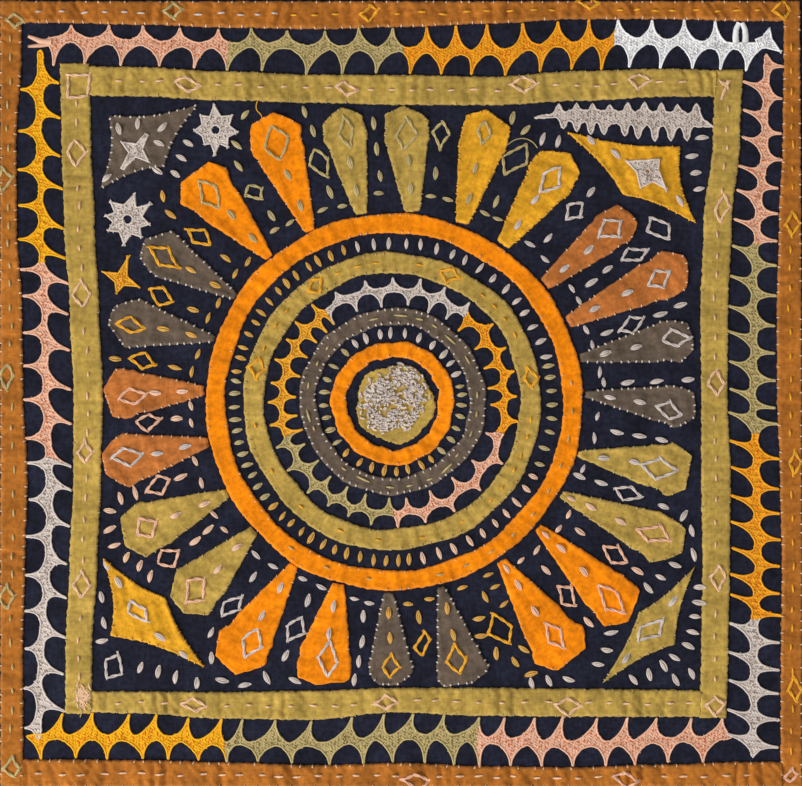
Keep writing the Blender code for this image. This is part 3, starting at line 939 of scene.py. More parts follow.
def layLacedBand(name, place, upper, lower, sections, level, width, ends, look):
    # upper and lower are (tips, heights). sections are (colour, start, end). level(s) is the middle line.
    # ends are how wide the band is at each end, as a share, or None for a band that just stops
    start, end = sections[0][1], sections[-1][2]

    def halfAt(s):
        taper = np.ones_like(s)
        for share, fromEnd in ((ends[0], s - start), (ends[1], end - s)):
            if share is not None:
                taper = taper * (share + (1 - share) * np.sqrt(np.clip(fromEnd / 7, 0, 1)))
                taper = taper * np.sqrt(1 - (1 - np.clip(fromEnd / 2.4, 0, 1)) ** 2)
        return width(s) / 2 * taper

    def outline(s, side):
        tips, heights = upper if side > 0 else lower
        stray = 0.3 * waver(s, (2.3, 4.1, 7.3), int(start + 400) + side)
        return archEdge(s, tips, heights, level(s) + side * halfAt(s), look) + stray

    def samples(side, low, high, steps):
        found = archSamples((upper if side > 0 else lower)[0], look["tipWidth"], low, high, steps)
        near = np.array([0.02, 0.1, 0.3, 0.6, 1.0, 1.5, 2.1])
        found = np.unique(np.concatenate([found, start + near, end - near]))
        return found[(found >= low) & (found <= high)]

    for colour, low, high in sections:
        layLaced(name, colour, place, outline, samples, low, high, look)


def layLaced(name, colour, place, outline, samples, low, high, look=lacing):
    # one colour of laced work: its two edges, its bed and its crossings
    light = skeinOf(f"{name}_{colour}", colour)
    deep = skeinOf(f"{name}_{colour}_crossings", colour + "Under")
    for side in (1, -1):
        s = samples(side, low, high, 20)
        line = np.column_stack([s, outline(s, side)])
        tangent = unit(np.gradient(line, axis=0))
        inward = np.column_stack([tangent[:, 1], -tangent[:, 0]]) * side
        line = line + inward * look["edgeRadius"] * 0.8
        x, y = place(line[:, 0], line[:, 1])
        z = surfaceAt(x, y) + 0.42 + 0.07 * np.sin(s * 2.1)
        # the edge threads are painted a little paler than plain: a painted highlight, for smooth thread
        # that catches more light
        layThread(light, np.column_stack([x, y, z]), look["edgeRadius"], 6, shade=1.08)
    s = np.unique(np.concatenate([samples(side, low, high, 14) for side in (1, -1)]))
    s = s[np.concatenate([[True], np.diff(s) > 0.05])]
    layBed(light, place, s, outline(s, -1), outline(s, 1))
    layCrossings(light, deep, place, outline, low, high, look)


def layCrossings(light, deep, place, outline, low, high, look):
    columns = np.arange(low + 0.4, high, look["column"])
    rows = np.arange(outline(columns, -1).min(), outline(columns, 1).max(), look["row"])
    s, n = np.meshgrid(columns, rows, indexing="ij")
    odd = np.arange(len(columns))[:, None] % 2 + 0 * n
    n = n + odd * look["row"] / 2
    s, n, odd = s.ravel(), n.ravel(), odd.ravel()
    s = s + threadDraws.uniform(-0.22, 0.22, len(s))
    n = n + threadDraws.uniform(-0.22, 0.22, len(s))
    margin = look["edgeRadius"] * 1.1
    kept = np.ones(len(s), bool)
    for aside in (-0.45, 0.45):
        kept &= (n > outline(s + aside, -1) + margin) & (n < outline(s + aside, 1) - margin)
    s, n, odd = s[kept], n[kept], odd[kept]
    if not len(s):
        return
    stray = threadDraws.uniform(-14, 14, len(s))
    lean = np.radians(90 + np.where(odd > 0, 1, -1) * (look["lean"] + stray))
    half = look["crossing"] / 2 * threadDraws.uniform(0.85, 1.15, len(s))
    x0, y0 = place(s - np.cos(lean) * half, n - np.sin(lean) * half)
    x1, y1 = place(s + np.cos(lean) * half, n + np.sin(lean) * half)
    x, y = (x0 + x1) / 2, (y0 + y1) / 2
    degrees, lengths = np.degrees(np.arctan2(y1 - y0, x1 - x0)), np.hypot(x1 - x0, y1 - y0)
    level = surfaceAt(x, y) + 0.12
    radii = look["threadRadius"] * threadDraws.uniform(0.9, 1.12, len(s))
    height = look["crossingHeight"]
    layMany(light, x, y, level, degrees, lengths, radii, height, threadDraws.uniform(0.96, 1.12, len(s)))
    # the deeper thread, shorter and slanting a little, over some of them
    speck = threadDraws.uniform(size=len(s)) < look["specks"]
    count = speck.sum()
    x, y, turned = (line[speck] + threadDraws.uniform(-most, most, count)
                    for line, most in ((x, 0.5), (y, 0.5), (degrees, 25)))
    layMany(deep, x, y, level[speck] + 0.2, turned, lengths[speck] * 0.6, radii[speck] * 0.85, height,
            threadDraws.uniform(0.85, 1.05, count))


def straightX(s, n):
    return s, n


def straightY(s, n):
    return n, s


lacedSides = dict(
    # offsets and bodies are nine values between the two measured places: how far the middle line lies from
    # half way, and the width between the openings.
    # leans is how far a tooth leans along the band on its higher side and on its lower one
    top=dict(
        place=straightX, ends=(0.45, 1.0), measured=(-164, 166), power=1.85, leans=(0.0, -0.15),
        offsets=(2.3, 1.1, 2.7, 2.4, 0.6, -1.4, 0.3, 1.6, 0.4),
        bodies=(3.2, 3.1, 3.0, 2.4, 2.6, 2.8, 2.4, 3.2, 3.6),
        outer=lambda s: crossEdge("border_top", s, -1), inner=lambda s: crossEdge("frame_top", s, 1),
        sections=(("pink", -188.0, -91.0), ("khaki", -91.0, 2.0), ("orange", 2.0, 113.5),
                  ("white", 113.5, 193.0)),
        outerTips=(-174.5, -154.5, -136.5, -117.0, -96.5, -79.0, -60.0, -40.0, -22.0, -4.0, 14.0, 29.5,
                   46.0, 65.0,
                   83.5, 100.0, 115.5, 133.5, 150.5, 167.0),
        innerTips=(-184.0, -167.5, -148.5, -128.0, -109.5, -92.0, -73.5, -50.0, -31.0, -13.0, 5.0, 21.5,
                   37.5, 55.5,
                   74.0, 90.7, 106.5, 121.3, 137.7, 154.7, 169.6, 183.2)),
    bottom=dict(
        place=straightX, ends=(0.3, 0.3), measured=(-171, 151), power=1.85, leans=(0.3, 0.05),
        offsets=(-0.7, -0.5, -1.5, -1.1, 0.1, 1.5, -0.8, -1.2, 0.8),
        bodies=(2.9, 3.4, 1.9, 2.2, 2.5, 3.7, 3.7, 3.2, 2.7),
        outer=lambda s: crossEdge("border_bottom", s, 1), inner=lambda s: crossEdge("frame_bottom", s, -1),
        sections=(("yellow", -198.5, -93.2), ("khaki", -93.2, 40.6), ("pink", 40.6, 176.0)),
        outerTips=(-190.5, -172.0, -155.5, -136.5, -123.0, -107.0, -92.0, -75.5, -57.5, -37.5, -19.5, -4.0,
                   13.0, 28.5,
                   42.0, 58.5, 75.0, 91.5, 109.0, 124.5, 142.0, 160.5),
        innerTips=(-179.0, -163.0, -143.5, -129.0, -112.0, -94.5, -83.5, -66.0, -47.0, -25.5, -8.5, 7.0,
                   23.5, 42.0,
                   55.5, 71.5, 86.5, 104.5, 120.5, 136.0, 154.5, 171.0)),
    left=dict(
        place=straightY, ends=(0.35, 1.0), measured=(-159, 150), power=2.4, leans=(-0.4, 0.0),
        offsets=(-2.6, -1.0, 0.5, -0.3, -1.4, -0.8, 0.0, 0.5, 0.0),
        bodies=(2.9, 2.7, 3.0, 3.5, 3.0, 2.9, 2.7, 2.3, 3.3),
        outer=lambda s: sideEdge("border_left", s, 1), inner=lambda s: sideEdge("frame_left", s, -1),
        sections=(("grey", -183.5, -33.5), ("pink", -33.5, 69.6), ("yellow", 69.6, 182.5)),
        outerTips=(-177.0, -156.0, -135.0, -115.0, -96.0, -75.5, -56.0, -36.5, -23.5, -3.0, 15.0, 32.5,
                   52.0, 66.0,
                   82.0, 100.0, 119.0, 139.5, 161.5),
        innerTips=(-168.5, -149.0, -129.5, -108.5, -90.5, -70.5, -51.0, -38.5, -16.0, 2.0, 23.0, 42.0, 58.5,
                   71.8, 87.5,
                   108.5, 126.0, 146.0, 164.5)),
    right=dict(
        place=straightY, ends=(0.35, 0.45), measured=(-174, 158), power=2.4, leans=(-0.1, 0.35),
        offsets=(0.0, -0.4, 1.2, 0.6, 0.4, 0.7, 0.5, 1.7, 1.7),
        bodies=(3.3, 3.8, 3.7, 3.5, 3.0, 3.4, 2.5, 3.5, 3.0),
        outer=lambda s: sideEdge("border_right", s, -1), inner=lambda s: sideEdge("frame_right", s, 1),
        sections=(("grey", -193.0, -119.4), ("orange", -119.4, -21.0), ("khaki", -21.0, 79.6),
                  ("pink", 79.6, 180.5)),
        outerTips=(-187.5, -173.0, -159.0, -146.5, -132.0, -117.6, -106.0, -91.5, -77.5, -63.5, -50.5,
                   -34.5, -16.0,
                   -7.5, 7.0, 21.5, 36.0, 52.0, 68.0, 81.0, 95.5, 109.0, 124.0, 138.0, 156.5, 173.5),
        innerTips=(-180.0, -167.0, -151.5, -136.5, -121.2, -106.0, -95.0, -81.5, -67.5, -53.5, -38.5, -24.5,
                   -9.5, 3.0,
                   17.5, 33.5, 47.0, 63.0, 79.0, 93.0, 108.5, 121.5, 136.5, 151.0, 166.0)),
)


def makeLacedSides():
    for side, band in lacedSides.items():
        outer, inner = band["outer"], band["inner"]
        up = 1 if outer(0.0) > inner(0.0) else -1
        outerTips, innerTips = np.array(band["outerTips"]), np.array(band["innerTips"])
        outerEnds = outer(outerTips) + up * threadDraws.uniform(-0.7, 0.7, len(outerTips))
        innerEnds = inner(innerTips) - up * threadDraws.uniform(-0.7, 0.7, len(innerTips))
        measured = np.linspace(*band["measured"], 9)

        def level(s):
            middle = (outer(s) + inner(s)) / 2 + np.interp(s, measured, band["offsets"])
            return middle + 0.25 * waver(s, (37, 61), len(side))

        def width(s):
            return np.interp(s, measured, band["bodies"])

        def leanAt(s, n):
            # how far along the band a place on a tooth is moved
            aside = n - level(s)
            return np.where(aside > 0, *band["leans"]) * np.maximum(np.abs(aside) - width(s) / 2, 0)

        def leaning(s, n):
            return band["place"](s + leanAt(s, n), n)

        def uprightTips(tips, ends):
            # the tables give where the tips are once the teeth lean
            return tips - leanAt(tips, ends), ends

        one, other = uprightTips(outerTips, outerEnds), uprightTips(innerTips, innerEnds)
        upper, lower = (one, other) if up > 0 else (other, one)
        layLacedBand("laced_" + side, leaning, upper, lower, band["sections"], level, width, band["ends"],
                     dict(lacing, power=band["power"]))
    # loose tails at the ends of the top band
    for colour, path, radii in bandTails:
        path = np.array(path)
        t = np.linspace(0, len(path) - 1, 12)
        x, y = (np.interp(t, np.arange(len(path)), path[:, axis]) for axis in (0, 1))
        z = surfaceAt(x, y) + 0.3
        layThread(skeinOf("laced_top_" + colour, colour), np.column_stack([x, y, z]),
                  np.interp(t, (0, len(path) - 1), radii), 6, flatten=0.5)


bandTails = (
    # colour, places, radius at the start and at the end
    ("pink", ((-185.0, 186.3), (-190.5, 186.9), (-194.0, 188.4), (-197.4, 189.7)), (1.9, 0.8)),
    ("pink", ((-185.0, 186.1), (-190.5, 184.8), (-197.5, 184.2)), (1.6, 0.7)),
    ("white", ((178.0, 185.6), (177.7, 189.4), (178.0, 193.4), (179.5, 196.8)), (1.8, 1.3)),
    ("white", ((182.8, 185.6), (183.1, 189.4), (182.7, 193.4), (181.2, 196.8)), (1.8, 1.3)),
)


lacedRing = dict(
    radius=59.5, outer=67.2, inner=50.4, body=2.3,
    sections=(("khaki", -162, -90), ("pink", -90, -16), ("orange", -16, 50), ("grey", 50, 127),
              ("gold", 127, 198)),
    outerTips=(-158.5, -146.8, -133.2, -122.1, -111.5, -100.3, -87.9, -75, -60.9, -45.6, -29.7, -9.1, 2.4,
               14.1, 25.6,
               37.9, 52.4, 65.6, 77.4, 90.3, 103.2, 117.9, 130, 140.9, 149.7, 160.3, 171.2, 180.3, 190.9),
    innerTips=(-162.9, -154.4, -141.8, -130, -118.2, -106.5, -92.4, -82.4, -67.9, -52.4, -36.8, -18.8, -1.8,
               7.9, 20,
               32.6, 47.4, 57.6, 68.8, 81.5, 97.1, 111.8, 127.4, 133.8, 142.4, 152.9, 165, 177.4, 188.2,
               197.1),
)


def makeLacedRing():
    perDegree = math.radians(lacedRing["radius"])

    def place(s, n):
        return polar(s / perDegree, n, (-3.7, -4.0))

    outerTips, innerTips = (np.array(lacedRing[k]) * perDegree for k in ("outerTips", "innerTips"))
    upper = (outerTips, lacedRing["outer"] + threadDraws.uniform(-1.4, 0.4, len(outerTips)))
    lower = (innerTips, lacedRing["inner"] + threadDraws.uniform(-0.4, 1.2, len(innerTips)))
    sections = [(colour, low * perDegree, high * perDegree) for colour, low, high in lacedRing["sections"]]
    look = dict(lacing, tipWidth=1.3, power=2.2, column=1.4, row=1.35, crossing=2.2)
    layLacedBand("laced_ring", place, upper, lower, sections,
                 lambda s: lacedRing["radius"] + 0.5 * waver(s, (47, 83), 5),
                 lambda s: lacedRing["body"] + 0 * s, (None, None), look)


lacedFlowers = (
    # name, colour, centre, radius of the hole and of the valleys, (direction, reach) of each petal
    ("flower_1", "grey", (-98.0, 140.0), 2.2, 8.0,
     ((-179, 11.9), (-127, 10.2), (-92, 14.2), (-55, 11.8), (-5, 12.5), (41.5, 12.6), (93.5, 14.4),
      (135.6, 12.0))),
    ("flower_2", "grey", (-144.7, 92.6), 2.3, 8.2,
     ((-150, 12.6), (-98, 14.4), (-52, 12.6), (-12, 12.6), (35, 15.6), (74.5, 15.2), (134.5, 14.0),
      (170, 12.6))),
    ("star_gold", "gold", (-148.1, 60.9), 0.0, 3.7, ((-108, 8.6), (-23, 11.4), (73, 13.8), (158, 11.4))),
)
lacedStars = (
    # name, colour, centre, radius of the hole, corners as (direction, reach)
    ("star_top_left", "grey", (-140.3, 129.3), 0.0,
     ((8, 3.9), (48, 10.8), (62, 10.4), (84, 3.5), (151, 9.4), (204, 4.0), (229, 12.8), (240, 12.4),
      (272, 3.9), (318, 10.8))),
    ("laced_top_end", "white", (193.5, 187.3), 0.0,
     ((-128, 5.7), (-84, 4.0), (-35, 10.9), (14, 3.8), (72, 7.9), (118, 2.9), (172, 5.6))),
    ("star_top_right", "ivory", (130.9, 118.0), 1.1,
     ((4, 6.2), (45, 9.6), (94, 6.2), (155, 13.6), (184, 6.0), (247, 10.2), (297, 6.4), (316, 15.3))),
)


def layRound(name, colour, centre, hole, corners):
    # laced work inside a ring of corners joined by straight lines, round a small hole
    first = corners[0][0]
    turns = np.radians([direction - first for direction, reach in corners] + [360])
    reaches = np.array([reach for direction, reach in corners] + [corners[0][1]], float)
    hole = max(hole, 0.15)
    scale = 6.0  # the radius at which one step along the edge is true

    def outline(s, side):
        if side < 0:
            return hole + 0 * s
        turn = np.clip(s / scale, 0, math.tau)
        k = np.clip(np.searchsorted(turns, turn, side="right") - 1, 0, len(turns) - 2)
        a, b, low, high = turns[k], turns[k + 1], reaches[k], reaches[k + 1]
        return low * high * np.sin(b - a) / (low * np.sin(turn - a) + high * np.sin(b - turn) + 1e-9)

    def samples(side, low, high, steps):
        between = np.linspace(0, math.tau, 5 * len(turns))
        return np.unique(np.round(np.concatenate([turns * scale, between * scale]), 4))

    def place(s, n):
        return polar(np.degrees(s / scale) + first, np.maximum(n, 0.02), centre)

    layLaced(name, colour, place, outline, samples, 0, math.tau * scale)


def makeFlowers():
    for name, colour, centre, hole, valley, petals in lacedFlowers:
        corners = []
        for petal, after in zip(petals, petals[1:] + ((petals[0][0] + 360, 0),)):
            corners += [petal, ((petal[0] + after[0]) / 2, valley)]
        layRound(name, colour, centre, hole, corners)
    for name, colour, centre, hole, corners in lacedStars:
        layRound(name, colour, centre, hole, corners)


tangle = dict(  # the looped grey threads on the middle scrap
    centre=(-4.2, -3.7), loops=640, size=(1.5, 2.7), threadRadius=0.58,
    reach=((-204, 17.5), (-184, 16.2), (-156, 18.3), (-121, 18.0), (-101, 17.8), (-87, 13.3), (-53, 17.2),
           (-11, 16.7),
           (14, 19.4), (44, 19.7), (83, 19.5), (99, 13.5), (121, 16.8), (150, 15.0), (176, 16.2)),
    holes=((-0.8, 1.9, 3.3, 2.3), (-6.6, -8.7, 3.1, 2.0), (4.8, -8.0, 2.8, 1.7)),
)


def makeTangle():
    skein, deep = skeinOf("tangle_ivory", "ivory"), skeinOf("tangle_grey", "grey")
    reachAt, reaches = zip(*tangle["reach"])
    laid = 0
    while laid < tangle["loops"]:
        direction = threadDraws.uniform(-184, 176)
        limit = np.interp(direction, reachAt, reaches) - 0.8
        distance = 19.7 * math.sqrt(threadDraws.uniform())
        if distance > limit:
            continue
        x, y = polar(direction, distance, tangle["centre"])
        inHoles = [((x - holeX) / (wide + 0.3)) ** 2 + ((y - holeY) / (high + 0.3)) ** 2 < 1
                   for holeX, holeY, wide, high in tangle["holes"]]
        if any(inHoles):
            continue
        size = threadDraws.uniform(*tangle["size"])
        turn = threadDraws.uniform(0, math.tau)
        t = np.linspace(0, threadDraws.uniform(0.5, 1.5), 6)
        flat = np.column_stack([x + size * np.cos(t + turn), y + 0.75 * size * np.sin(t + turn)])
        under = laid % 3 == 0
        z = surfaceAt(*flat.T) + (0.1 if under else threadDraws.uniform(0.2, 0.9)) + 0.2 * np.sin(t)
        layThread(deep if under else skein, np.column_stack([flat, z]), tangle["threadRadius"], 5,
                  shade=threadDraws.uniform(0.8, 1.15))
        laid += 1


lacedCorner = dict(  # the short laced strip in the top right corner
    start=71.0, end=166.0, up=(84.0, 93.5, 102.0, 111.0, 120.5, 129.5, 138.5, 147.0, 157.0),
    down=(86.5, 93.5, 101.0, 108.0, 119.0, 126.0, 135.0, 143.5, 152.0))


def makeLacedCorner():
    up, down = (np.array(lacedCorner[k]) for k in ("up", "down"))
    upper = (up, np.interp(up, (84, 157), (154.6, 154.2)) + threadDraws.uniform(-0.8, 0.8, len(up)))
    low = np.interp(down, (86, 100, 152), (140.6, 137.0, 133.4))
    lower = (down, low + threadDraws.uniform(-0.9, 0.9, len(down)))
    look = dict(lacing, tipWidth=3.6, drop=2.6, power=1.8, column=1.45, row=1.4)
    layLacedBand("laced_corner", straightX, upper, lower, (("grey", lacedCorner["start"],
                                                            lacedCorner["end"]),),
                 lambda s: np.interp(s, (71, 80, 100, 157, 166), (146.4, 147.6, 147.4, 145.0, 141.8)),
                 width=lambda s: np.interp(s, (71, 82, 90, 150, 158, 166), (1.6, 2.4, 6.0, 8.2, 6.5, 1.0)),
                 ends=(0.8, 0.8), look=look)


makeLacedSides()
makeLacedRing()
makeFlowers()
makeTangle()
makeLacedCorner()
print("laced bands done")


# stitches on and between the rays
radialRings = (
    # centre, middle radius, length, width, {colour: directions}
    ((-4.0, -4.1), 84.3, 5.9, 2.5, dict(
        gold=(169, 164, 160, 155, 150, 146, 141, 136, 132, 127.5, 122, 118, 113, 108,
              -84, -88, -92.5, -97, -102, -107, -111.5, -116, -121, -125, -130, -134, -139),
        white=(103, 97, 91.6, 85, 80, 74, 68, 63, 57, 51, 45, 39, 34, 28, 22, 16.5),
        khaki=(13, 9, 4, -1, -6, -11, -17, -23, -143.5, -148, -152.5, -156.5, -161, -165, -169.5, -173.5,
               -178, 177,
               172.5),
        pink=(-28, -33, -39, -44.5, -50, -55.5, -61, -67.5, -73, -79))),
    ((-3.9, -4.3), 36.6, 5.4, 2.5, dict(
        khaki=(172, 161, 149, 134, 13.5, 6, -2.4, -12, -23, -33, -45, -144, -156, -167, -177),
        white=(123, 113.5, 101, 92, 80, 68, 55, 43.5, 34, 24),
        yellow=(-56, -66, -77.5, -87, -97, -108, -119, -133))),
)


def makeRadialStitches():
    for centre, radius, length, width, colours in radialRings:
        for colour, directions in colours.items():
            for direction in directions:
                spot = polar(direction, radius + threadDraws.uniform(-0.4, 0.4), centre)
                tilt = direction + threadDraws.uniform(-9, 9)
                long = length * threadDraws.uniform(0.85, 1.12)
                seed(colour, spot, tilt, long, width * threadDraws.uniform(0.85, 1.1))


gapStitches = (
    # direction, colour, diamond radius and size, seed radii, dashes as (direction, radius)
    (171, "gold", (135, 14, 9), (150, 118), ((171.6, 108.6), (166.4, 107.4))),
    (155.6, "gold", (136, 14, 10), (117.6,), ((155.8, 108.4), (150.7, 107))),
    (139.8, "gold", (136, 14.5, 10), (155, 117.6), ((141.2, 108.4), (136.3, 107.6))),
    (123.7, "khaki", (134.4, 10, 8.5), (150, 118.4), ((125, 111), (120.3, 110))),
    (107.2, "khaki", (133, 14, 9), (161, 150, 116.4), ((110.6, 108.6), (105, 107.4))),
    (94, "khaki", None, (148, 134.4, 120), ((94.4, 111),)),
    (80, "khaki", (144, 14, 9), (123,), ((80, 110.6), (75.3, 111))),
    (63.4, "khaki", (143, 19, 12.5), (119,), ((64.4, 111), (60.6, 111.6))),
    (46.8, "cream", (138.4, 13, 9), (152.4, 119), ((49.4, 110.4), (43.5, 110))),
    (31.5, "cream", (150, 14, 9), (133, 122), ((32.6, 111.4), (28.7, 111.4))),
    (18.3, "cream", (132, 14, 9), (160, 148.4, 118.4), ((20.6, 108.6), (16, 109))),
    (4.7, "cream", None, (156, 139.4, 124), ((8.2, 110), (5.3, 111.6))),
    (-7.8, "cream", None, (143, 131, 119), ((-4.1, 108), (-10.3, 107.6))),
    (-21.5, "cream", (133, 14, 9), (153, 117.6, 105.6), ((-19.7, 106),)),
    (-34.6, "pink", (142, 15, 9.5), (157, 120), ((-32.9, 110), (-37.8, 110))),
    (-48.4, "pink", (137.6, 14, 9.5), (155.6, 120), ((-46.2, 109), (-51.5, 107.6))),
    (-65, "gold", (133, 17, 12), (114,), ((-61.6, 122), (-61.5, 111.6), (-61.6, 104.4), (-70, 105))),
    (-83.3, "gold", (129, 13, 9), (115,), ((-80, 106), (-86.2, 107.6))),
    (-98, "grey", None, (149, 139, 128.4, 115), ((-97.2, 107.6), (-101.6, 106.4))),
    (-113.6, "cream", (132, 14, 9), (146.6, 115), ((-111.6, 105.6), (-117.5, 105.6))),
    (-128.7, "cream", (138, 14, 9.5), (119.4,), ((-126.5, 108.4), (-132.2, 109.6))),
    (-145.5, "pink", (145.6, 13.5, 9.5), (129, 120), ((-143.1, 113), (-148.1, 113))),
    (-160.6, "pink", (132.4, 13.5, 9.5), (120.4,), ((-157.2, 111), (-163.5, 110.4))),
    (-175.5, "pink", (131, 13, 9), (116,), ((-174.1, 108.4), (-178.9, 108))),
)
strayStitches = (
    # colour, direction, radius, turn from pointing outwards
    ("khaki", 121.6, 160, 20), ("khaki", 64.3, 160, -20), ("khaki", 67.4, 163, 10),
    ("white", 60.5, 160, 12), ("white", 57.9, 163, 18), ("cream", -21.5, 165, 80),
    ("cream", -23.4, 172, -52),
    ("white", -27.1, 178, -48), ("white", -30.1, 172, 10), ("white", -33.4, 169, 8),
    ("white", -36.2, 167, -14),
    ("cream", -46.8, 167.6, 57), ("white", -49.4, 173, 40), ("white", -52.2, 176, 44),
    ("white", -57.9, 173.6, 38),
    ("white", -61, 169, -4), ("white", -64, 166, -11), ("gold", -63.4, 161.6, 80), ("gold", -65, 152, 10),
    ("gold", -62.4, 148, 30), ("gold", -67.9, 144, -20), ("gold", -69.7, 132, 75), ("gold", -68.7, 123, 80),
    ("cream", -109.7, 157, 85), ("cream", -114.8, 161, 50), ("cream", -117.9, 170, 130),
    ("white", -121.8, 173.6, 110),
    ("white", -125.6, 167, 35), ("white", -128.5, 156.4, 10), ("pink", -144.4, 159, 40),
    ("pink", -147.2, 160.6, 38),
    ("peach", -149.9, 164.4, 35), ("pink", -152.9, 167, -10), ("pink", -155.9, 165.6, 5),
    ("pink", -159.1, 161.6, 150),
    ("pink", -160.6, 154, 85), ("pink", -160.6, 145.6, 85),
)


def makeGapStitches():
    for direction, colour, diamond, seeds, dashes in gapStitches:
        if diamond:
            radius, long, wide = diamond
            layDiamond("diamonds", colour, polar(direction, radius), direction, long, wide,
                       threadDraws.uniform(-1.2, 1.2))
        for radius in seeds:
            spot = polar(direction + threadDraws.uniform(-0.4, 0.4), radius)
            seed(colour, spot, direction + threadDraws.uniform(-8, 8), threadDraws.uniform(6.2, 7.6))
        for turned, radius in dashes:
            tilt = turned + 90 + threadDraws.uniform(-16, 16)
            seed(colour, polar(turned, radius), tilt, threadDraws.uniform(4.8, 6.2), 2.2)
    for colour, direction, radius, turned in strayStitches:
        seed(colour, polar(direction, radius), direction + turned, threadDraws.uniform(6.0, 7.4))
    layDiamond("diamonds", "cream", polar(33.4, 168), 118, 13.5, 11.5, 1.5)
    layDiamond("diamonds", "cream", (-152.5, -144.7), 60, 13.5, 10.5, 1.0)


cornerSeeds = (
    # colour, x, y, direction
    ("grey", -149.2, 140.5, -75), ("grey", -139.1, 143.1, 88), ("grey", -126.4, 141.5, 45),
    ("grey", -128.0, 133.0, -25),
    ("grey", -155.6, 114.5, 40), ("grey", -129.1, 118.7, -35), ("white", -112.6, 133.0, -30),
    ("white", -116.3, 125.1, -30),
    ("white", -119.5, 116.6, -35), ("khaki", -82.4, 147.9, 50), ("gold", -125.9, 104.9, -80),
    ("cream", 159.8, 135.7, 5), ("cream", 154.5, 126.1, 8),
    ("cream", 156.6, 117.1, 8), ("cream", 158.2, 108.7, 12),
    ("grey", 101.0, 134.6, -50), ("grey", 114.2, 127.2, -45), ("grey", 148.1, 102.3, -60),
    ("grey", -155.7, -90.8, -60), ("grey", -149.5, -99.9, -60), ("grey", -127.4, -128.7, -35),
    ("grey", -115.1, -138.3, -40),
    ("white", -158.4, -107.7, -78), ("white", -157.0, -121.4, -75), ("white", -158.4, -130.8, 10),
    ("white", -137.9, -145.1, 68), ("white", -128.3, -147.2, 80), ("white", -119.2, -150.2, 80),
    ("white", -108.0, -153.3, 88),
    ("cream", 144.4, -110.0, 50), ("cream", 119.5, -140.1, 55), ("white", 158.7, -102.5, 0),
    ("white", 158.4, -110.4, -8),
    ("white", 156.2, -118.2, -5), ("white", 155.0, -126.4, -15), ("white", 152.6, -133.7, -25),
    ("white", 145.4, -139.7, -30),
    ("white", 139.5, -144.2, -60), ("white", 132.0, -148.8, -78), ("white", 123.5, -151.5, -50),
    ("white", 154.5, -148.3, -65),
    ("white", 146.2, -151.5, -62),
)


def makeCorners():
    for colour, x, y, direction in cornerSeeds:
        seed(colour, (x, y), direction, threadDraws.uniform(5.8, 7.2))
    layDiamond("diamonds", "grey", (-139.2, -115.0), -65, 14, 9.5, 1.5)
    layDiamond("diamonds", "cream", (132.5, -125.5), 48, 16, 9, -1.2)


rayDiamonds = (
    # how far its middle lies from the usual place, x and y, then its direction, length and width
    (0.4, 1.3, 104, 17, 9), (-0.2, -1.8, 86, 18, 11), (0.2, 2.6, 78, 15, 8), (-0.4, -2.5, 50, 19, 11),
    (0, 0.6, 38, 16, 10.5),
    (-0.7, -0.4, 28, 15, 11.5), (4.7, 1.6, 6, 16.5, 10), (-0.4, -2.2, -12, 16.5, 9.5),
    (-3, 0.3, -12, 19, 12),
    (0, 0, -23, 19.5, 10), (0.9, -2, -47, 21, 11), (0.4, 0.7, -51, 18, 11), (-1.4, 1.2, -77, 16.5, 10.5),
    (0.4, -2.1, 87, 13, 9), (2.7, 0.5, 85, 19.5, 11), (3.1, 0.2, 64, 18, 11), (-1.2, -0.8, 46, 17, 13),
    (-0.8, -0.3, 32, 14.5, 12.5), (-0.8, 1, 13, 15.5, 10), (2.6, -1.3, 13, 16, 7.5), (-2, -1.3, -8, 17, 9),
    (-0.9, -0.4, -31, 20, 11), (-0.9, -1.4, -45, 18, 12.5), (-0.5, 0.5, -75, 19, 13),
)


def makeRayStitches():
    for number, ray in enumerate(rays):
        foot, head, reach, width, cloth, thread = ray[:6]
        for share, kind in ((0.76, "diamond"), (0.49, "seed"), (0.22, "seed")):
            if kind == "seed" and number in (9, 10, 11) and share == 0.22:
                share = 0.24
            x, y = rayPoint(ray, np.float64(share), np.float64(threadDraws.uniform(-0.06, 0.06)))
            direction = foot + (head - foot) * share + (head - foot) * 1.2
            if kind == "diamond":
                x, y = rayPoint(ray, np.float64(share), np.float64(0))
                asideX, asideY, turned, long, wide = rayDiamonds[number]
                layDiamond("diamonds", thread, (x + asideX, y + asideY), turned, long - 1.2, wide - 0.6,
                           threadDraws.uniform(-0.8, 0.8))
            else:
                seed(thread, (x, y), direction + threadDraws.uniform(-10, 10), 6.4)
        if number in (9, 10, 11):
            x, y = rayPoint(ray, np.float64(0.08), np.float64(0))
            seed(thread, (x, y), direction, 5.4, 2.2)


makeRadialStitches()
makeGapStitches()
makeCorners()
makeRayStitches()
print("stitches done")


# hemming nibs round every applied piece, and running stitches along strips and rings
nibs = {
    # cloth: thread, pitch, length, width, share that shows
    "rust": ("peach", 6.4, 1.4, 0.8, 0.8), "strip_olive": ("khaki", 7.6, 1.3, 0.6, 0.5),
    "orange": ("peach", 5.6, 1.0, 0.6, 0.45),
    "olive": ("khaki", 5.2, 1.3, 0.7, 0.7), "taupe": ("grey", 4.2, 1.3, 0.9, 1.0),
    "gold": ("gold", 4.6, 1.4, 0.8, 0.8),
    "pale_rust": ("peach", 5.0, 1.3, 0.75, 0.75), "lozenge": ("grey", 4.4, 1.3, 0.9, 1.0),
}


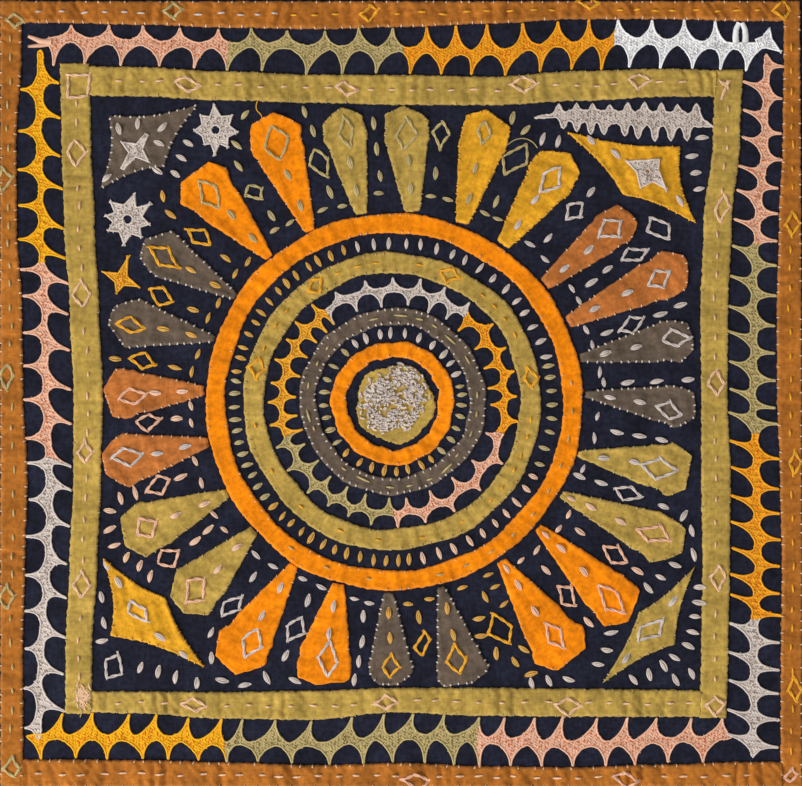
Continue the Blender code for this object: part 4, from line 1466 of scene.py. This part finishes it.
def nibsAlong(kind, line, within):
    # short stitches over an edge, pointing across it. within is a place inside the cloth for each place
    # on the edge
    colour, pitch, length, width, chance = nibs[kind]
    line = np.asarray(line, float)
    run = np.concatenate([[0], np.cumsum(np.linalg.norm(np.diff(line, axis=0), axis=1))])
    places = np.arange(pitch / 2, run[-1], pitch)
    places = places + threadDraws.uniform(-0.25, 0.25, len(places)) * pitch
    skein = skeinOf("nibs_" + colour, colour)

    def along(values, place):
        return np.array([np.interp(place, run, values[:, axis]) for axis in (0, 1)])

    for spot in places:
        if threadDraws.uniform() > chance:
            continue
        here, ahead = along(line, spot), along(line, spot + 0.5)
        direction = math.degrees(math.atan2(*(ahead - here)[::-1])) + 90 + threadDraws.uniform(-30, 30)
        inward = along(within, spot) - here
        here = here + inward / (np.linalg.norm(inward) + 1e-6) * 0.5 * length
        layStitch(skein, here, direction, length, width, 0.55, strands=1, segments=4, sink=0.15)


def makeNibs():
    for name, (cloth, lowest, highest, leftEdge, rightEdge) in sideStrips.items():
        kind = "rust" if cloth == "rust" else "strip_olive"
        y = np.linspace(lowest + 3, highest - 3, 120)
        for side in (1, -1):
            nibsAlong(kind, np.column_stack([sideEdge(name, y, side), y]),
                      np.column_stack([sideEdge(name, y, 0), y]))
    for name, (cloth, left, right, lowerEdge, upperEdge) in crossStrips.items():
        kind = "rust" if cloth == "rust" else "strip_olive"
        end = sideEdge(right, 0.0, -1) - 4
        x = np.linspace(-end, end, 120)
        for side in (1, -1):
            nibsAlong(kind, np.column_stack([x, crossEdge(name, x, side)]),
                      np.column_stack([x, crossEdge(name, x, 0)]))
    for name, (cloth, centre, inner, outer, lobes, depth) in rings.items():
        angle = np.linspace(0, math.tau, 240)
        middle = (inner + outer) / 2
        for side, radius in ((1, outer), (-1, inner)):
            r = radius - side * 0.4 + 0.4 * np.sin(lobes * angle + inner)
            around = np.column_stack([np.cos(angle), np.sin(angle)])
            nibsAlong(cloth, centre + r[:, None] * around, centre + middle * around)
    for ray in rays:
        share = np.linspace(0.02, 1, 40)
        head = [rayPoint(ray, np.float64(1), a) for a in np.linspace(-0.8, 0.8, 9)]
        side1 = np.array([rayPoint(ray, s, np.float64(-1)) for s in share])
        side2 = np.array([rayPoint(ray, s, np.float64(1)) for s in share[::-1]])
        edge = np.concatenate([side1, np.array(head), side2])
        nibsAlong(ray[4], edge, np.tile(rayPoint(ray, np.float64(0.55), np.float64(0)), (len(edge), 1)))
    for name, (cloth, corners) in lozenges.items():
        t = np.linspace(-1, 1, 20)
        one = np.ones_like(t)
        sides = [lozengePoint(corners, t, -one), lozengePoint(corners, one, t),
                 lozengePoint(corners, -t, one),
                 lozengePoint(corners, -one, -t)]
        edge = np.concatenate([np.column_stack(side) for side in sides])
        nibsAlong("lozenge" if cloth == "taupe" else cloth, edge,
                  np.tile(np.mean(np.array(corners), axis=0), (len(edge), 1)))


runningStitch = dict(pitch=10.8, length=3.4, width=1.05)
borderDiamonds = (
    # colour, x, y, size across, size up, and how far it is turned
    ("khaki", -120.0, 203.0, 10, 9), ("gold", -16.7, 201.9, 9, 8), ("gold", 99.9, 207.2, 11, 8),
    ("gold", 202.7, 203.5, 9, 8), ("khaki", -204.3, 197.2, 10, 8), ("khaki", -210.7, 114.0, 8, 12),
    ("khaki", -208.6, 9.0, 8, 12), ("khaki", -208.0, -108.1, 8, 12), ("khaki", -205.4, -197.7, 9, 10),
    ("gold", 207.5, 90.1, 7, 13), ("gold", 208.6, -36.6, 7, 13), ("gold", 209.1, -156.4, 7, 13),
    ("pink", 206.4, -201.9, 8, 7), ("pink", 8.2, -205.1, 14, 8), ("pink", 119.5, -204.1, 13, 8),
    ("peach", -170.6, 163.6, 17.0, 15.0, 47), ("peach", -112.6, 164.3, 13, 8.5),
    ("peach", -28.9, 162.2, 12, 8),
    ("peach", 65.5, 164.3, 14, 8), ("peach", 126.4, 165.9, 12, 8),
    ("peach", -172.0, 127.7, 9.5, 13), ("peach", -168.8, 52.5, 9, 14), ("peach", -167.2, -31.3, 8, 12),
    ("peach", -169.3, -101.2, 9, 12), ("peach", -110.0, -164.3, 13, 7), ("peach", -8.2, -163.8, 14, 8),
    ("peach", 88.8, -164.8, 13, 9), ("peach", 166.7, -164.8, 9, 9), ("peach", 170.9, 98.1, 7, 13),
    ("peach", 167.2, 5.3, 8, 14), ("peach", 168.8, -97.0, 8, 12),
)


def dashAlong(colour, x, y, direction, length=runningStitch["length"], width=runningStitch["width"]):
    if any(math.hypot(x - d[1], y - d[2]) < 9 for d in borderDiamonds):
        return
    tilt = direction + threadDraws.uniform(-7, 7)
    length = length * threadDraws.uniform(0.8, 1.3)
    skein = skeinOf("running_" + colour, colour)
    layStitch(skein, (x, y), tilt, length, width, 0.6, strands=1, segments=4, sink=0.1)


def makeRunningStitches():
    for name, (cloth, lowest, highest, leftEdge, rightEdge) in sideStrips.items():
        y = lowest + 8.0
        while y < highest - 5:
            middle = sideEdge(name, y, 0)
            colour = "peach" if cloth == "olive" else ("khaki" if "left" in name else "gold")
            dashAlong(colour, middle + threadDraws.uniform(-0.7, 0.7), y, 90)
            y += runningStitch["pitch"] * threadDraws.uniform(0.85, 1.2)
    for name, (cloth, left, right, lowerEdge, upperEdge) in crossStrips.items():
        x = sideEdge(left, 0.0, 1) + 8
        while x < sideEdge(right, 0.0, -1) - 5:
            middle = crossEdge(name, x, 0)
            size = (3.9, 1.15) if name == "border_bottom" else ()
            colour = ("cream" if x < -60 else "gold") if name == "border_top" else "peach"
            dashAlong(colour, x, middle + threadDraws.uniform(-0.7, 0.7), 0, *size)
            x += runningStitch["pitch"] * threadDraws.uniform(0.8, 1.2)
    for colour, x, y, across, up, *turned in borderDiamonds:
        layDiamond("border_diamonds", colour, (x, y), sum(turned), across, up,
                   threadDraws.uniform(-0.8, 0.8))
    centre = rings["ring_second"][1]
    for direction in (157.6, 147, 139.4, 113.5, 104.7, 97, 79, 49.7, 43, 36.2, 28.5, -7.6, -14.7, -23,
                      -29.4, -38.2,
                      -45.3, -60, -78, -96, -112, -131, -150, -170):
        x, y = polar(direction, 73.8, centre)
        dashAlong("gold", x, y, direction + 90, 3.0)
    for direction in (166.5, 123.8, 65.4, 10):
        layDiamond("border_diamonds", "gold", polar(direction, 73.8, centre), direction + 90, 10.5, 8, 0.6)
    centre = rings["ring_third"][1]
    for direction, length in ((169.7, 3), (153.5, 3), (141, 3), (103.5, 4), (85, 8), (72, 4), (61, 3),
                              (47, 6), (29, 4),
                              (4, 3), (-9, 3), (-23, 3), (-40, 3), (-52, 7), (-65, 3), (-79, 3), (-92, 4),
                              (-111, 7),
                              (-126, 3), (-161, 3), (-170, 6)):
        x, y = polar(direction, 45.0 + threadDraws.uniform(-0.8, 0.8), centre)
        dashAlong("khaki", x, y, direction + 90, length)
    centre = rings["ring_outer"][1]
    for direction in list(range(-75, 12, 9)) + [-125, -112, -98]:
        x, y = polar(direction, 94.7, centre)
        dashAlong("khaki", x, y, direction + 90, 3.2)


def makeLooseEnds():
    # thread ends left hanging on the face
    ends = (
        ("gold", ((-75.5, 156.0), (-76.6, 153.0), (-76.2, 150.2), (-74.0, 148.4), (-73.2, 146.0))),
        ("khaki", ((56.0, 131.5), (60.5, 135.0), (66.0, 135.8), (70.5, 133.6), (73.0, 130.0))),
        ("khaki", ((-173.0, -157.0), (-170.0, -160.5), (-172.0, -164.5), (-168.5, -167.5),
                   (-170.0, -172.0))),
        ("peach", ((-171.0, -155.5), (-167.0, -158.0), (-169.5, -161.0), (-165.5, -163.0),
                   (-167.5, -166.0))),
        ("peach", ((-168.0, -157.0), (-171.5, -159.5), (-167.0, -161.5), (-170.5, -165.0),
                   (-166.0, -168.0))),
        ("khaki", ((-166.5, -156.0), (-163.8, -158.5), (-167.0, -162.5), (-163.5, -165.5),
                   (-165.0, -169.0))),
    )
    for colour, places in ends:
        places = np.array(places)
        t = np.linspace(0, len(places) - 1, 8 * len(places))
        k = np.arange(len(places))
        smooth = [np.interp(t, k, places[:, axis]) for axis in (0, 1)]
        smooth = [np.convolve(np.pad(line, 4, mode="edge"), np.ones(9) / 9,
                              mode="valid") for line in smooth]
        flat = np.column_stack(smooth)
        z = surfaceAt(*flat.T) + 0.3
        layThread(skeinOf("loose_" + colour, colour), np.column_stack([flat, z]), 0.3, 6)


def makeKnots():
    # a bunch of threads in one corner of the frame, and the crossed stitches in another
    skein = skeinOf("knot_peach", "peach")
    for place in range(54):
        x, y = threadDraws.normal(-168.8, 1.8), threadDraws.normal(-159.8, 2.6)
        direction, length = threadDraws.uniform(40, 140), threadDraws.uniform(2.2, 4.4)
        layStitch(skein, (x, y), direction, length, 0.8, 0.5, strands=1)
    corners = ((168.8, 166.4), (173.0, 163.6), (175.0, 166.2), (169.9, 155.8))
    for corner in (0, 2, 3):
        layLine(skein, corners[corner], corners[1], 2.0)


makeNibs()
makeRunningStitches()
makeLooseEnds()
makeKnots()

for name, skein in skeins.items():
    bindOff(name, skein)
print("running stitches and nibs done")


# floor, light and camera
def makeFloor():
    bpy.ops.mesh.primitive_plane_add(size=4.0, location=(0, 0, -0.0002))
    floor = bpy.context.object
    floor.name = "studioFloor"
    material, tree, surface = newMaterial("PalePaintedFloor", Roughness=0.8)
    grain = noise(tree, addNode(tree, "TexCoord").outputs["Object"], 60.0, 2.0)
    tree.links.new(mapped(tree, grain, (0.0, 1.0), (0.66, 0.70)), surface.inputs["Base Color"])
    floor.data.materials.append(material)


light = dict(
    skyStrength=0.47,
    keyWatts=57.0,
    keyPlace=(-1.65, -1.35, 1.3),
    keySize=1.0,
)


def makeLight():
    world = bpy.data.worlds.new("softRoom")
    bpy.context.scene.world = world
    world.use_nodes = True
    background = world.node_tree.nodes["Background"]
    background.inputs["Color"].default_value = (1.0, 0.985, 0.965, 1)
    background.inputs["Strength"].default_value = light["skyStrength"]
    bpy.ops.object.light_add(type="AREA", location=light["keyPlace"])
    key = bpy.context.object
    key.name = "softKey"
    key.data.energy = light["keyWatts"]
    key.data.size = light["keySize"]
    key.rotation_euler = (-Vector(light["keyPlace"])).to_track_quat("-Z", "Y").to_euler()


def makeCamera():
    camera = bpy.data.objects.new("camera", bpy.data.cameras.new("camera"))
    bpy.context.scene.collection.objects.link(camera)
    camera.data.lens = 100
    camera.data.sensor_width = 36
    camera.data.sensor_fit = "HORIZONTAL"
    camera.data.clip_start = 0.01
    camera.location = (0.3 * mm, 0.5 * mm, 1.1833)  # 802 pixels of 0.53 mm across
    bpy.context.scene.camera = camera


makeFloor()
makeLight()
makeCamera()
bpy.context.scene.view_settings.view_transform = "Standard"
